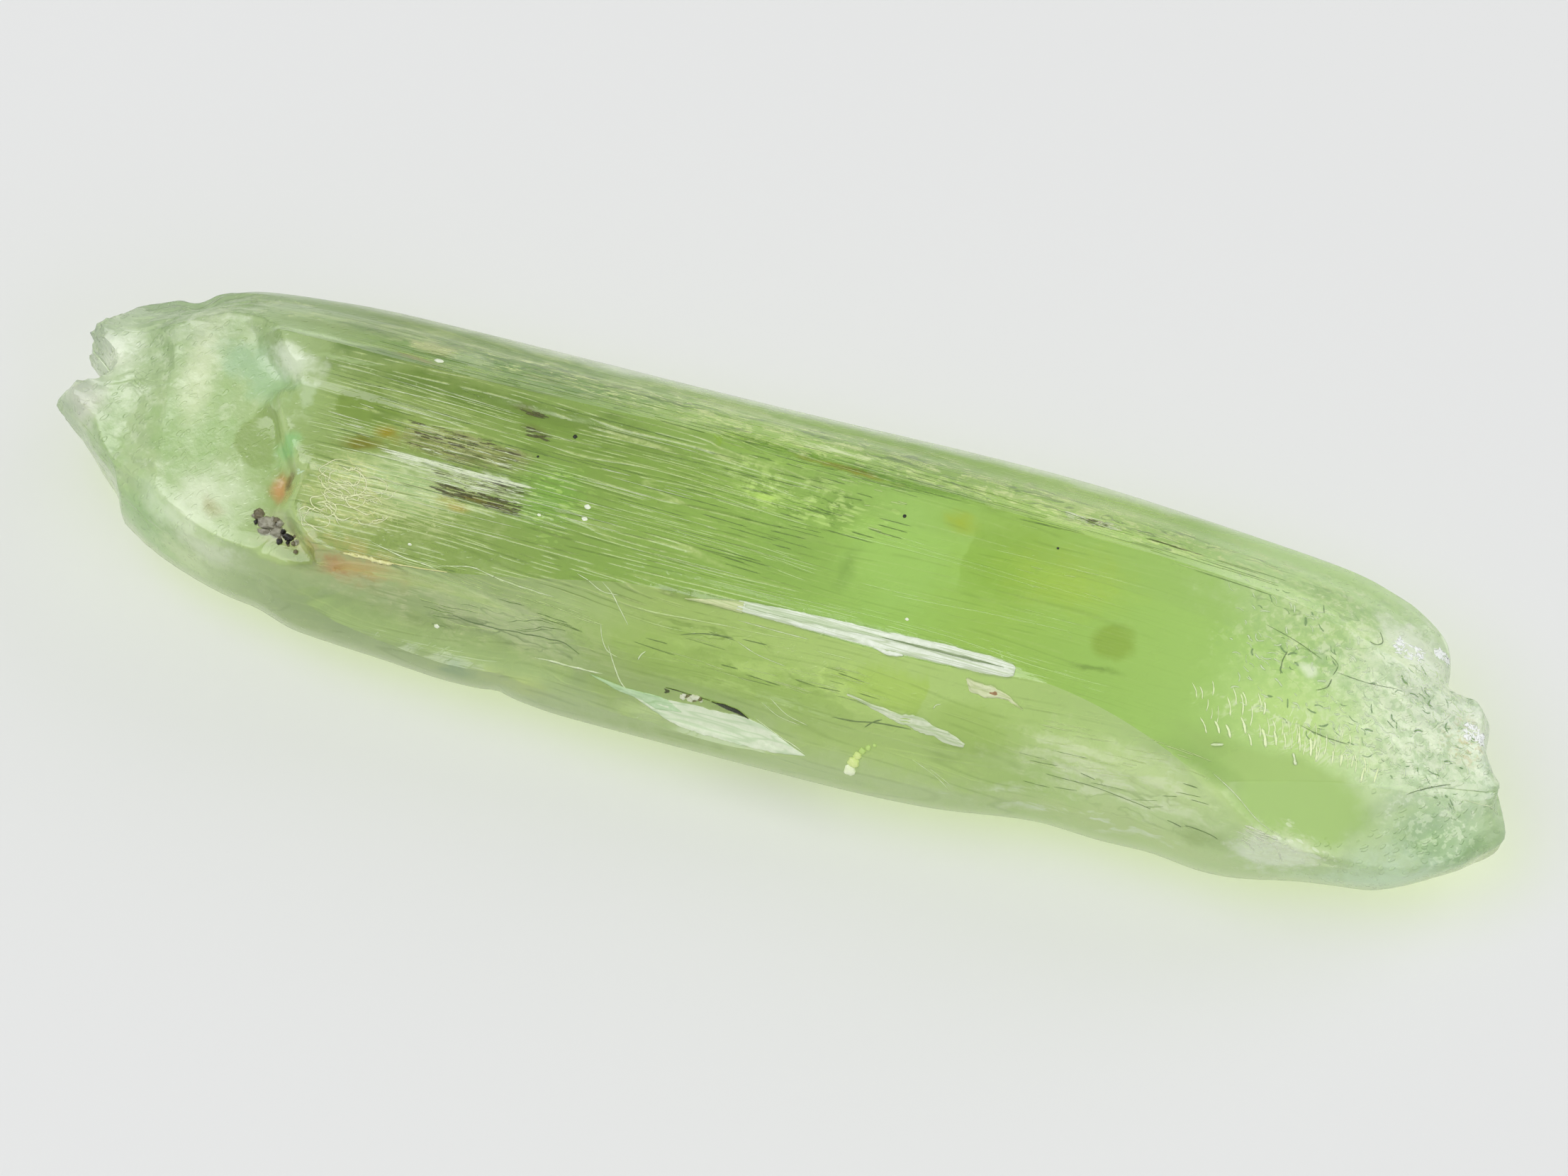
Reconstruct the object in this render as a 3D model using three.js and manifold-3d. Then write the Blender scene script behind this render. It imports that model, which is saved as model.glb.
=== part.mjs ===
// Hiddenite crystal: the green gem variety of spodumene, one natural flattened prism with
// striated long faces, a broken ledge at its left end and an etched, rounded right end.
// Millimetres, +Z up. It lies along X on its broad lower face; its near side faces -Y.
// The origin is on that face, under the middle of the crystal's outline.

import * as THREE from 'three';
import { mergeVertices } from 'three/addons/utils/BufferGeometryUtils.js';
import Module from 'manifold-3d';

const { lerp, clamp, smoothstep } = THREE.MathUtils;

// Driving dimensions
const TOP = 5.8; // height of the broad striated face above the face it lies on
const SHOULDER = 3.45; // height of the far shoulder, under the far bevel
const NEAR_SHOULDER = 3.0; // height of the near shoulder, under the near bevel
const KEEL = 1.92; // height of the widest lower edges
const WAIST = 2.7; // height at which both ends reach furthest out
const END_SETBACK = 1.6; // how far an end draws back at the height of the faces
const STRIA = 0.075; // height of the growth striae on the long faces
const HACKLE = 0.1; // unevenness of the broken ends
const STATIONS = 58; // rings along the crystal
const CAP_RINGS = 6; // rings from the rim of an end to its middle

// The long edges of the prism, each a line of [x, y, z] points from the left end to the right.
const NEAR_CREST = [
  [-17.8, -2.2, 3.8],
  [-16.0, -3.0, 4.7],
  [-14.5, -3.35, 5.2],
  [-12.5, -3.6, 5.4],
  [-9.7, -3.75, 5.55],
  [-7.2, -3.4, TOP - 0.15],
  [-5.0, -2.9, TOP - 0.05],
  [-2.5, -2.35, TOP],
  [3.0, -2.25, TOP],
  [7.0, -2.05, TOP],
  [9.5, -2.4, TOP - 0.05],
  [11.5, -3.0, 5.55],
  [13.6, -3.55, 5.0],
  [16.6, -3.5, 4.2],
  [18.6, -2.7, 3.7],
  [19.8, -1.8, 3.3],
];
const FAR_CREST = [
  [-18.4, 1.6, 4.3],
  [-17.0, 2.0, 5.0],
  [-15.5, 2.05, 5.6],
  [-13.0, 2.05, TOP],
  [0.0, 2.4, TOP],
  [8.0, 2.35, TOP],
  [12.0, 2.3, 5.6],
  [15.0, 2.1, 5.1],
  [17.0, 1.6, 4.4],
  [18.6, 1.1, 3.7],
];
const FAR_SHOULDER = [
  [-18.6, 3.0, SHOULDER - 0.2],
  [-17.6, 3.2, SHOULDER - 0.1],
  [-17.3, 3.4, SHOULDER],
  [-17.0, 3.7, SHOULDER],
  [-16.3, 4.08, SHOULDER],
  [-15.4, 4.3, SHOULDER],
  [-11.7, 4.68, SHOULDER],
  [-2.2, 4.88, SHOULDER],
  [6.2, 5.12, SHOULDER],
  [12.9, 4.76, SHOULDER],
  [14.8, 4.56, SHOULDER],
  [15.9, 4.2, SHOULDER],
  [16.8, 3.85, SHOULDER - 0.05],
  [17.4, 3.2, SHOULDER - 0.2],
];
const NEAR_KEEL = [
  [-17.8, -2.7, KEEL],
  [-17.0, -3.14, KEEL],
  [-16.0, -3.6, KEEL],
  [-14.0, -4.15, KEEL],
  [-13.2, -4.22, KEEL],
  [-12.4, -4.55, KEEL],
  [-9.5, -4.72, KEEL],
  [-7.4, -4.85, KEEL],
  [-6.4, -4.68, KEEL],
  [-5.4, -4.93, KEEL],
  [3.0, -4.83, KEEL],
  [5.6, -4.67, KEEL],
  [7.5, -4.32, KEEL],
  [8.5, -4.19, KEEL],
  [10.0, -4.3, KEEL],
  [11.4, -4.2, KEEL],
  [12.8, -4.4, KEEL],
  [14.2, -4.23, KEEL],
  [15.0, -3.96, KEEL],
  [17.4, -3.55, KEEL],
  [18.6, -3.0, KEEL],
  [19.6, -2.1, KEEL],
];
const FAR_FOOT = [
  [-18.4, 1.5, 1.2],
  [-16.5, 2.2, 0.5],
  [-14.0, 2.7, 0],
  [0.0, 2.9, 0],
  [15.0, 2.6, 0],
  [17.0, 2.0, 0.6],
  [18.4, 1.2, 1.1],
];
const NEAR_FOOT = [
  [-17.8, -1.5, 1.1],
  [-16.0, -2.2, 0.4],
  [-14.0, -2.7, 0],
  [-4.0, -3.1, 0],
  [6.0, -3.0, 0],
  [15.0, -2.6, 0],
  [17.0, -2.2, 0.5],
  [19.2, -1.6, 1.1],
];

// How far out each end reaches, as [y, x] points: two broken teeth on the left, and on the
// right a rounded lobe beside a smaller one.
const LEFT_END = [
  [-4.2, -16.3],
  [-3.2, -17.46],
  [-2.1, -18.1],
  [-1.7, -18.6],
  [-0.95, -19.35],
  [-0.4, -20.05],
  [-0.1, -20.0],
  [0.15, -19.5],
  [0.45, -19.1],
  [0.75, -19.1],
  [1.6, -20.05],
  [2.0, -19.8],
  [2.4, -19.35],
  [3.0, -18.8],
  [3.3, -17.7],
  [3.8, -17.3],
  [4.2, -16.9],
  [4.6, -16.3],
];
const RIGHT_END = [
  [-4.2, 17.0],
  [-3.6, 18.3],
  [-3.1, 19.15],
  [-2.5, 19.95],
  [-1.45, 20.27],
  [-0.4, 20.05],
  [0.0, 19.7],
  [0.6, 19.2],
  [1.5, 19.05],
  [1.9, 18.6],
  [2.15, 17.8],
  [2.7, 17.55],
  [3.3, 17.6],
  [3.8, 17.4],
  [4.2, 16.9],
  [4.6, 16.0],
];

// The broken ledge at the left: its ragged edge as [x, y] points from the far side to the near
// side, and the plane of the lower shelf beyond it.
const LEDGE_EDGE = [
  [-17.2, 4.6],
  [-15.9, 2.6],
  [-15.0, 1.9],
  [-14.5, 1.3],
  [-13.9, 0.9],
  [-14.2, 0.3],
  [-13.75, -0.5],
  [-13.35, -1.2],
  [-12.85, -1.9],
  [-13.0, -2.65],
  [-12.5, -3.2],
  [-11.8, -3.7],
  [-11.3, -4.6],
];
const SHELF = { height: 4.95, riseX: 0.1, riseY: 0.1, at: -14 };

// A repeatable number from -1 to 1 for a whole number.
function scatter(n) {
  const s = Math.sin(n * 127.1 + 311.7) * 43758.5453;
  return 2 * (s - Math.floor(s)) - 1;
}

// A slow wave along x: a scattered value every `spacing`, joined smoothly.
function wander(seed, x, spacing) {
  const t = x / spacing + 100;
  const n = Math.floor(t);
  return lerp(scatter(seed * 57 + n), scatter(seed * 57 + n + 1), smoothstep(t - n, 0, 1));
}

// A smooth curve through rows [t, a, b, ...] that never swings past its points.
function through(rows) {
  const last = rows.length - 1;
  const step = (i, c) => (rows[i + 1][c] - rows[i][c]) / (rows[i + 1][0] - rows[i][0]);
  const slope = (i, c) => {
    if (i === 0) return step(0, c);
    if (i === last) return step(last - 1, c);
    const before = step(i - 1, c);
    const after = step(i, c);
    return before * after > 0 ? (2 * before * after) / (before + after) : 0;
  };
  return (t) => {
    const where = clamp(t, rows[0][0], rows[last][0]);
    const next = rows.findIndex((row, k) => k > 0 && where <= row[0]);
    const i = next - 1;
    const width = rows[next][0] - rows[i][0];
    const f = (where - rows[i][0]) / width;
    const hold = (1 + 2 * f) * (1 - f) ** 2;
    return rows[i].slice(1).map((from, k) => {
      const c = k + 1;
      const lean = f * (1 - f) ** 2 * slope(i, c) - f * f * (1 - f) * slope(next, c);
      return hold * from + (1 - hold) * rows[next][c] + lean * width;
    });
  };
}

// The faces in turn around the crystal, each starting at its own long edge: how many strips it
// has, how high its growth striae stand and how far it swells out in the middle.
const levelled = (rows, dy, z) => rows.map(([x, y]) => [x, y + dy, z]);
const FACES = [
  { edge: through(NEAR_CREST), strips: 16, striae: STRIA, swell: 0 }, // broad upper face
  { edge: through(FAR_CREST), strips: 6, striae: STRIA, swell: 0.08 }, // far bevel
  { edge: through(FAR_SHOULDER), strips: 2, striae: 0, swell: 0.06 }, // far side
  { edge: through(levelled(FAR_SHOULDER, -0.1, KEEL)), strips: 4, striae: STRIA, swell: 0.05 },
  { edge: through(FAR_FOOT), strips: 2, striae: 0, swell: 0 }, // lower face it lies on
  { edge: through(NEAR_FOOT), strips: 4, striae: STRIA, swell: 0.05 },
  { edge: through(NEAR_KEEL), strips: 2, striae: 0, swell: 0.06 }, // near side
  { edge: through(levelled(NEAR_KEEL, 0, NEAR_SHOULDER)), strips: 8, striae: STRIA, swell: 0.18 },
];

// The outline of the crystal across its length at x, as [y, z] points.
function section(x) {
  const corners = FACES.map((face) => face.edge(x));
  const fade = smoothstep(18.5 - Math.abs(x), 0, 4);
  const points = [];
  FACES.forEach((face, k) => {
    const [y0, z0] = corners[k];
    const [y1, z1] = corners[(k + 1) % FACES.length];
    const size = Math.hypot(y1 - y0, z1 - z0);
    for (let j = 0; j < face.strips; j += 1) {
      const f = j / face.strips;
      const seed = k * 31 + j;
      const ridge = j === 0 ? 0 : scatter(seed) * (0.6 + 0.4 * wander(seed, x, 6));
      const out = fade * face.striae * ridge + face.swell * Math.sin(Math.PI * f);
      points.push([
        lerp(y0, y1, f) - (out * (z1 - z0)) / size,
        lerp(z0, z1, f) + (out * (y1 - y0)) / size,
      ]);
    }
  });
  return points;
}

// Where an end's surface lies over a point (y, z) of the section: its reach, drawn back above
// and below the waist, with the uneven surface of a natural break.
const leftReach = through(LEFT_END);
const rightReach = through(RIGHT_END);
function endSetback(z) {
  return END_SETBACK * ((z - WAIST) / (TOP / 2)) ** 2;
}
function hackle(y, z) {
  return HACKLE * (wander(3, z + 0.5 * y, 0.9) + wander(5, y - 0.3 * z, 1.1));
}
const leftX = (y, z) => leftReach(y)[0] + endSetback(z) + hackle(y, z);
const rightX = (y, z) => rightReach(y)[0] - endSetback(z) + hackle(y, z);

// One ring of points at the fraction f of the way from the left end to the right. The ends
// aren't flat, so each point finds its own x.
function ring(f) {
  return section(0).map((_, k) => {
    let x = lerp(-18, 18, f);
    for (let pass = 0; pass < 24; pass += 1) {
      const [y, z] = section(x)[k];
      x = lerp(x, lerp(leftX(y, z), rightX(y, z), f), 0.5);
    }
    const [y, z] = section(x)[k];
    return [x, y, z];
  });
}

// The rings that close an end, from its rim towards its middle.
function capRings(rim, reach) {
  const middle = [1, 2].map((c) => rim.reduce((sum, p) => sum + p[c], 0) / rim.length);
  const rings = [];
  for (let r = 1; r < CAP_RINGS; r += 1) {
    const keep = 1 - r / CAP_RINGS;
    rings.push(rim.map((p) => {
      const y = lerp(middle[0], p[1], keep);
      const z = lerp(middle[1], p[2], keep);
      return [reach(y, z), y, z];
    }));
  }
  const tip = [reach(middle[0], middle[1]), middle[0], middle[1]];
  return { rings, tip };
}

// The grown crystal before anything broke off: rings joined into one closed skin.
function prism() {
  const rings = [];
  for (let i = 0; i <= STATIONS; i += 1) {
    const even = i / STATIONS;
    rings.push(ring(lerp(even, 0.5 - 0.5 * Math.cos(Math.PI * even), 0.4)));
  }
  const left = capRings(rings[0], leftX);
  const right = capRings(rings[STATIONS], rightX);
  rings.unshift(...left.rings.reverse());
  rings.push(...right.rings);

  const around = rings[0].length;
  const points = [...rings.flat(), left.tip, right.tip];
  const leftTip = points.length - 2;
  const rightTip = points.length - 1;
  const lastRing = (rings.length - 1) * around;
  const faces = [];
  for (let k = 0; k < around; k += 1) {
    const n = (k + 1) % around;
    for (let i = 0; i < rings.length - 1; i += 1) {
      const a = i * around;
      const b = a + around;
      faces.push(a + k, b + k, b + n, a + k, b + n, a + n);
    }
    faces.push(leftTip, k, n);
    faces.push(rightTip, lastRing + n, lastRing + k);
  }
  const geometry = new THREE.BufferGeometry();
  geometry.setAttribute('position', new THREE.Float32BufferAttribute(points.flat(), 3));
  geometry.setIndex(faces);
  return geometry;
}

// The block of crystal that broke off above the shelf at the left end.
function ledgeBreak() {
  const outline = new THREE.Shape();
  outline.moveTo(-24, 7);
  LEDGE_EDGE.forEach(([x, y]) => outline.lineTo(x, y));
  outline.lineTo(-24, -7);
  const block = new THREE.ExtrudeGeometry(outline, { depth: 4, bevelEnabled: false });
  const { height, riseX, riseY, at: from } = SHELF;
  const tilt = new THREE.Matrix4().set(
    1, 0, 0, 0,
    0, 1, 0, 0,
    riseX, riseY, 1, height - riseX * from,
    0, 0, 0, 1,
  );
  return block.applyMatrix4(tilt);
}

// A flat break: everything on the outer side of a plane through `point`, within `reach` of it.
function flatBreak(point, normal, reach) {
  const block = new THREE.BoxGeometry(reach[0], reach[1], 4).translate(0, 0, 2);
  const out = new THREE.Vector3(...normal).normalize();
  const along = new THREE.Vector3(1, 0, 0).projectOnPlane(out).normalize();
  const across = new THREE.Vector3().crossVectors(out, along);
  const turn = new THREE.Matrix4().makeBasis(along, across, out).setPosition(...point);
  return block.applyMatrix4(turn);
}

// A conchoidal break: the hollow left by an ellipsoid with these half-sizes.
function shellBreak(centre, sizes, detail = 4) {
  return new THREE.IcosahedronGeometry(1, detail).scale(...sizes).translate(...centre);
}

// Small pits etched into the rounded right end.
function etchPits() {
  const pits = [];
  for (let n = 0; n < 8; n += 1) {
    const y = lerp(-2.4, 1.6, n / 7) + 0.3 * scatter(n);
    const z = 2.5 + 0.8 * scatter(n + 20);
    const size = 0.45 + 0.25 * scatter(n + 40);
    pits.push(shellBreak([rightX(y, z) + 0.45 * size, y, z], [size, 1.3 * size, 0.9 * size], 1));
  }
  return pits;
}

const BREAKS = [
  ledgeBreak(),
  // smooth facets at the near right, between the broad face and the near bevel
  flatBreak([12.9, -2.9, 5.26], [0.213, -0.372, 0.904], [8, 8]),
  flatBreak([15.9, -2.7, 4.17], [0.363, -0.445, 0.819], [16, 10]),
  // long cleavage chip along the near crest, running out to the left
  flatBreak([2.2, -2.27, 5.695], [0.02, -0.4, 0.916], [9.2, 1.6]),
  // long cleavage chip along the far crest
  flatBreak([3.5, 2.55, 5.63], [-0.012, 0.37, 0.93], [12, 1.4]),
  // shell-shaped scoop in the near bevel and the flake that left the near shoulder
  shellBreak([-8.3, -5.6, 4.7], [6.1, 2.0, 2.0]),
  shellBreak([-0.7, -4.95, 3.7], [2.9, 0.8, 1.0]),
  // two more shell-shaped scars, low on the far side
  shellBreak([-7.0, 5.15, 1.5], [3.4, 0.75, 1.1]),
  shellBreak([8.5, 5.3, 1.9], [2.3, 0.55, 0.8]),
  ...etchPits(),
];

const wasm = await Module();
wasm.setup();

function toSolid(geometry) {
  const bare = geometry.clone();
  bare.deleteAttribute('normal');
  bare.deleteAttribute('uv');
  const merged = mergeVertices(bare);
  return new wasm.Manifold(new wasm.Mesh({
    numProp: 3,
    vertProperties: new Float32Array(merged.attributes.position.array),
    triVerts: new Uint32Array(merged.index.array),
  }));
}

function toGeometry(solid) {
  const mesh = solid.getMesh();
  const geometry = new THREE.BufferGeometry();
  geometry.setAttribute('position', new THREE.BufferAttribute(mesh.vertProperties, 3));
  geometry.setIndex(new THREE.BufferAttribute(mesh.triVerts, 1));
  return geometry;
}

function crystal() {
  const broken = BREAKS.reduce((body, chip) => body.subtract(toSolid(chip)), toSolid(prism()));
  const geometry = toGeometry(broken);
  geometry.computeBoundingBox();
  const { min, max } = geometry.boundingBox;
  geometry.translate(-(min.x + max.x) / 2, -(min.y + max.y) / 2, -min.z);
  geometry.computeVertexNormals();
  const material = new THREE.MeshStandardMaterial({ color: 0xa5be7e, roughness: 0.2, metalness: 0 });
  const mesh = new THREE.Mesh(geometry, material);
  mesh.name = 'hiddenite_crystal';
  return mesh;
}

const specimen = new THREE.Group();
specimen.add(crystal());

export default specimen;
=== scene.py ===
"""The looks of a hiddenite crystal: its striated clear green body, the white cleavage chips,
flakes and feathers in it, the stains, and the dark grain caught under its ledge.

Lengths in this file are millimetres, in the part's own frame (X along the crystal, Z up, the
lower face at zero), and are turned into metres where a mesh is made.
"""

import math

import bmesh
import bpy
import numpy as np
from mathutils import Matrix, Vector
from mathutils.bvhtree import BVHTree


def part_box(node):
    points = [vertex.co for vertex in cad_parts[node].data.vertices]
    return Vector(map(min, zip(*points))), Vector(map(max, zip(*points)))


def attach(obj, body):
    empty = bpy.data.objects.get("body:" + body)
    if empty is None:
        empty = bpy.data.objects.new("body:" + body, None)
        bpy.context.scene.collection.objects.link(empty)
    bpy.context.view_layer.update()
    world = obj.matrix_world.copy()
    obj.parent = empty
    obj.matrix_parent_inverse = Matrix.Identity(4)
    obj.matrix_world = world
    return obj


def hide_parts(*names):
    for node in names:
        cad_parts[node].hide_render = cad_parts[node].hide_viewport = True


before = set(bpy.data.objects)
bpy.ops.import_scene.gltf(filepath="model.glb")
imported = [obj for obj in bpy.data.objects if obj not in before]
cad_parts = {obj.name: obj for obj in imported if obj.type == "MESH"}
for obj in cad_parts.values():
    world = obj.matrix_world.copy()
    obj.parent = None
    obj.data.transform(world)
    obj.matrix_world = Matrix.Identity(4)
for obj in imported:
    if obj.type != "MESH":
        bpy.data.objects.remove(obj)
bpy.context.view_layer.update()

BODY = "root"
NODE = "hiddenite_crystal"
MM = 0.001

LOW, HIGH = (np.array(corner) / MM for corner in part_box(NODE))
AXIS_Z = 0.5 * HIGH[2]  # height of the crystal's middle line

# ---------------------------------------------------------------------------------------------
# Small number tools
# ---------------------------------------------------------------------------------------------


def smooth(low, high, value):
    """0 below low, 1 above high, and a smooth step between them."""
    t = np.clip((value - low) / (high - low), 0.0, 1.0)
    return t * t * (3.0 - 2.0 * t)


def scatter(*numbers):
    """Repeatable numbers from -1 to 1 for whole numbers."""
    total = 0.0
    for n, weight in zip(numbers, (127.1, 311.7, 74.7)):
        total = total + np.asarray(n, float) * weight
    value = np.sin(total) * 43758.5453
    return 2.0 * (value - np.floor(value)) - 1.0


def chance(*numbers):
    """One repeatable number from -1 to 1 for whole numbers."""
    return float(scatter(*numbers))


def wave(seed, u, v=0.0):
    """A smooth random wave from -1 to 1 over the plane (u, v), one swell to each unit."""
    u, v = np.broadcast_arrays(np.asarray(u, float), np.asarray(v, float))
    i, j = np.floor(u), np.floor(v)
    a, b = smooth(0, 1, u - i), smooth(0, 1, v - j)
    near = scatter(i, j, seed) * (1 - a) + scatter(i + 1, j, seed) * a
    far = scatter(i, j + 1, seed) * (1 - a) + scatter(i + 1, j + 1, seed) * a
    return near * (1 - b) + far * b


# ---------------------------------------------------------------------------------------------
# The crystal's skin: the solid's surface laid out again in fine even rings, with growth striae,
# conchoidal ripples and etching raised on it
# ---------------------------------------------------------------------------------------------

FAN_X = 15.6  # beyond this the rings fan out round each end
RAYS = 1000  # looks taken at the solid for each ring
FAN_RINGS = 44
COARSE_SPACING = 0.235  # between rings
FINE_SPACING = 0.085  # and at the ledge
FINE_FROM, FINE_TO = (-16.4, -15.2), (-11.6, -10.4)  # where the one passes into the other
STEADY_RINGS = 7  # rings over which the long edges are steadied

# The long edges in turn round the crystal. Each is the furthest point in a direction (y, z)
# between two angles round X, and starts a face that has this many columns of the skin. Then
# come the way across the face (y, z) and how strongly growth lines show on it.
FACES = [
    ("upper", (-0.45, 0.90), (160, 120), 112, (1, 0), 1.0),
    ("far bevel", (0.37, 0.93), (62, 38), 56, (0.74, -0.67), 0.9),
    ("far side", (0.92, 0.38), (16, -3), 14, (0, -1), 0.5),
    ("far under", (0.92, -0.38), (-8, -22), 32, (-0.7, -0.7), 0.8),
    ("base", (0.45, -0.90), (-40, -56), 30, (-1, 0), 0.25),
    ("near under", (-0.45, -0.90), (-124, -142), 32, (-0.7, 0.7), 0.8),
    ("near side", (-0.92, -0.38), (-160, -171), 14, (0, 1), 0.5),
    ("near bevel", (-0.92, 0.38), (-174, -192), 66, (0.68, 0.73), 0.45),
]
FACE_NAMES = [face[0] for face in FACES]
COLUMNS = [face[3] for face in FACES]
START_ANGLE = math.radians(165)


def solid_surface():
    """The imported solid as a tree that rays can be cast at, in millimetres."""
    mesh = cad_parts[NODE].data
    points = [v.co / MM for v in mesh.vertices]
    return BVHTree.FromPolygons(points, [tuple(p.vertices) for p in mesh.polygons])


SOLID = solid_surface()


def ring_plan():
    """Where each ring's rays start and how far they lean along X, from left to right."""
    lean = np.linspace(0, math.pi / 2, FAN_RINGS + 1)[1:-1]
    x, body = -FAN_X, []
    while x < FAN_X:
        body.append(x)
        near_ledge = smooth(*FINE_FROM, x) * (1 - smooth(*FINE_TO, x))
        x += COARSE_SPACING + (FINE_SPACING - COARSE_SPACING) * near_ledge
    body.append(FAN_X)
    left = [(-FAN_X, -a) for a in lean[::-1]]
    right = [(FAN_X, a) for a in lean]
    return left + [(x, 0.0) for x in body] + right


def cast(origin_x, lean, angles):
    """Points of the solid seen from its middle line at these angles round X."""
    origin = Vector((origin_x, 0.0, AXIS_Z))
    out, along = math.cos(lean), math.sin(lean)
    hits = []
    for angle in angles:
        way = Vector((along, out * math.cos(angle), out * math.sin(angle)))
        hits.append(SOLID.ray_cast(origin, way)[0])
    return np.array(hits)


def edge_angles(profile, angles):
    """The angle of each long edge in a profile: its furthest point in the edge's direction."""
    found = []
    for _, (ny, nz), (start, stop), *_ in FACES:
        near = (angles < math.radians(start)) & (angles > math.radians(stop))
        reach = np.where(near, profile[:, 1] * ny + profile[:, 2] * nz, -np.inf)
        found.append(angles[int(np.argmax(reach))])
    return found


def steadied(values):
    """Rows of values, each made the median and then the mean of the rows about it."""
    reach = STEADY_RINGS // 2
    padded = np.pad(values, ((reach, reach), (0, 0)), mode="edge")
    windows = [padded[i : i + STEADY_RINGS] for i in range(len(values))]
    middle = np.array([np.median(window, axis=0) for window in windows])
    kernel = np.ones(STEADY_RINGS) / STEADY_RINGS
    padded = np.pad(middle, ((reach, reach), (0, 0)), mode="edge")
    return np.stack([np.convolve(column, kernel, "valid") for column in padded.T], axis=1)


def spaced_out(profile, edges, angles):
    """The points of one ring: the columns of each face, evenly spaced between its long edges."""
    closed = np.vstack([profile, profile[:1]])
    run = np.concatenate([[0], np.cumsum(np.linalg.norm(np.diff(closed, axis=0), axis=1))])
    turned = START_ANGLE - np.append(angles, START_ANGLE - 2 * math.pi)
    at = np.interp(START_ANGLE - edges, turned, run)
    at = np.append(at, at[0] + run[-1])
    places = [
        np.linspace(at[k], at[k + 1], count, endpoint=False) for k, count in enumerate(COLUMNS)
    ]
    places = np.concatenate(places) % run[-1]
    return np.stack([np.interp(places, run, closed[:, c]) for c in range(3)], axis=1)


def lay_rings():
    """Rings of points over the whole skin, the two end points, and the rings of its body."""
    plan = ring_plan()
    angles = START_ANGLE - 2 * math.pi * np.arange(RAYS) / RAYS
    profiles = [cast(x, lean, angles) for x, lean in plan]
    edges = np.array([edge_angles(p, angles) for p in profiles])
    body = np.flatnonzero([lean == 0 for _, lean in plan])
    edges[: body[0]] = edges[body[0]]
    edges[body[-1] + 1 :] = edges[body[-1]]
    rings = [spaced_out(p, marks, angles) for p, marks in zip(profiles, steadied(edges))]
    tips = [cast(side * FAN_X, side * math.pi / 2, [0.0])[0] for side in (-1, 1)]
    return np.array(rings), tips, body


def softened(rings, times):
    """The rings with every point moved towards its neighbours along the crystal."""
    soft = rings.copy()
    for _ in range(times):
        soft[1:-1] = 0.25 * soft[:-2] + 0.5 * soft[1:-1] + 0.25 * soft[2:]
    return soft


def levelled(rings, times):
    """The rings with every face's coarse ridges lowered, and its long edges left in place."""
    soft = rings.copy()
    first = 0
    for count in COLUMNS:
        columns = np.arange(first, first + count + 1) % rings.shape[1]
        face = soft[:, columns]
        for _ in range(times):
            face[:, 1:-1] = 0.25 * face[:, :-2] + 0.5 * face[:, 1:-1] + 0.25 * face[:, 2:]
        soft[:, columns] = face
        first += count
    return soft


def nearby(values, reach, pick):
    """Each value replaced by the mean or the greatest of its neighbours' within the reach."""
    steps = range(-reach, reach + 1)
    return pick([np.roll(values, (i, j), axis=(0, 1)) for i in steps for j in steps], axis=0)


def unless_moved(rings, soft, low, high):
    """The softened rings, but as they were wherever softening would move a step or an edge."""
    moved = np.linalg.norm(soft - rings, axis=2, keepdims=True)
    keep = nearby(nearby(smooth(low, high, moved), 1, np.max), 2, np.mean)
    return keep * rings + (1 - keep) * soft


def rounded_off(rings, times):
    """The rings with every point moved towards its neighbours round the crystal."""
    soft = rings.copy()
    for _ in range(times):
        soft = 0.25 * np.roll(soft, 1, axis=1) + 0.5 * soft + 0.25 * np.roll(soft, -1, axis=1)
    return soft


# The facets come out of the long faces in so many passes, first along the crystal and then
# round it. A point that this would move by less than the first distance moves. One that it
# would move by more than the second belongs to a step or an edge, and stays.
ALONG_PASSES, ALONG_KEPT = 10, (0.025, 0.06)
LEVEL_PASSES, LEVEL_KEPT = 22, (0.07, 0.14)
WORN_PASSES = 6  # at the ledge and the right end
SHELF_LIP_PASSES = 30


def even_out(rings, body):
    """Takes the facets out of the long faces, and leaves steps and broken edges."""
    long = slice(body[0], body[-1] + 1)
    smoothed = softened(rings[long], ALONG_PASSES)
    rings[long] = unless_moved(rings[long], smoothed, *ALONG_KEPT)
    level = unless_moved(rings[long], levelled(rings[long], LEVEL_PASSES), *LEVEL_KEPT)
    lip = smooth(-11.0, -12.0, level[..., :1]) * smooth(-2.6, -3.2, level[..., 1:2])
    rings[long] = lip * rings[long] + (1 - lip) * level
    worn = softened(rings, WORN_PASSES)
    x, y, z = (rings[..., c : c + 1] for c in range(3))
    ledge = smooth(-16.6, -15.6, x) * smooth(-11.6, -12.4, x)
    rings = rings + np.maximum(ledge, smooth(15.0, 16.5, x)) * (worn - rings)
    shelf_lip = smooth(-11.2, -12.2, x) * smooth(-2.2, -3.0, y) * smooth(3.2, 3.8, z)
    return rings + shelf_lip * (rounded_off(rings, SHELF_LIP_PASSES) - rings)


# Where a little more has broken away at the rim of the ends: the place (x, y), how far round it
# the nick reaches, and how far it is pressed in along x and y.
NICKS = [
    (-19.6, 0.4, 0.65, (0.45, -0.05)),
    (-17.4, 3.2, 0.65, (0.05, -0.28)),
    (17.95, 2.1, 0.75, (-0.22, -0.26)),
    (20.1, -2.3, 0.95, (-0.24, 0.12)),
]


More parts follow.
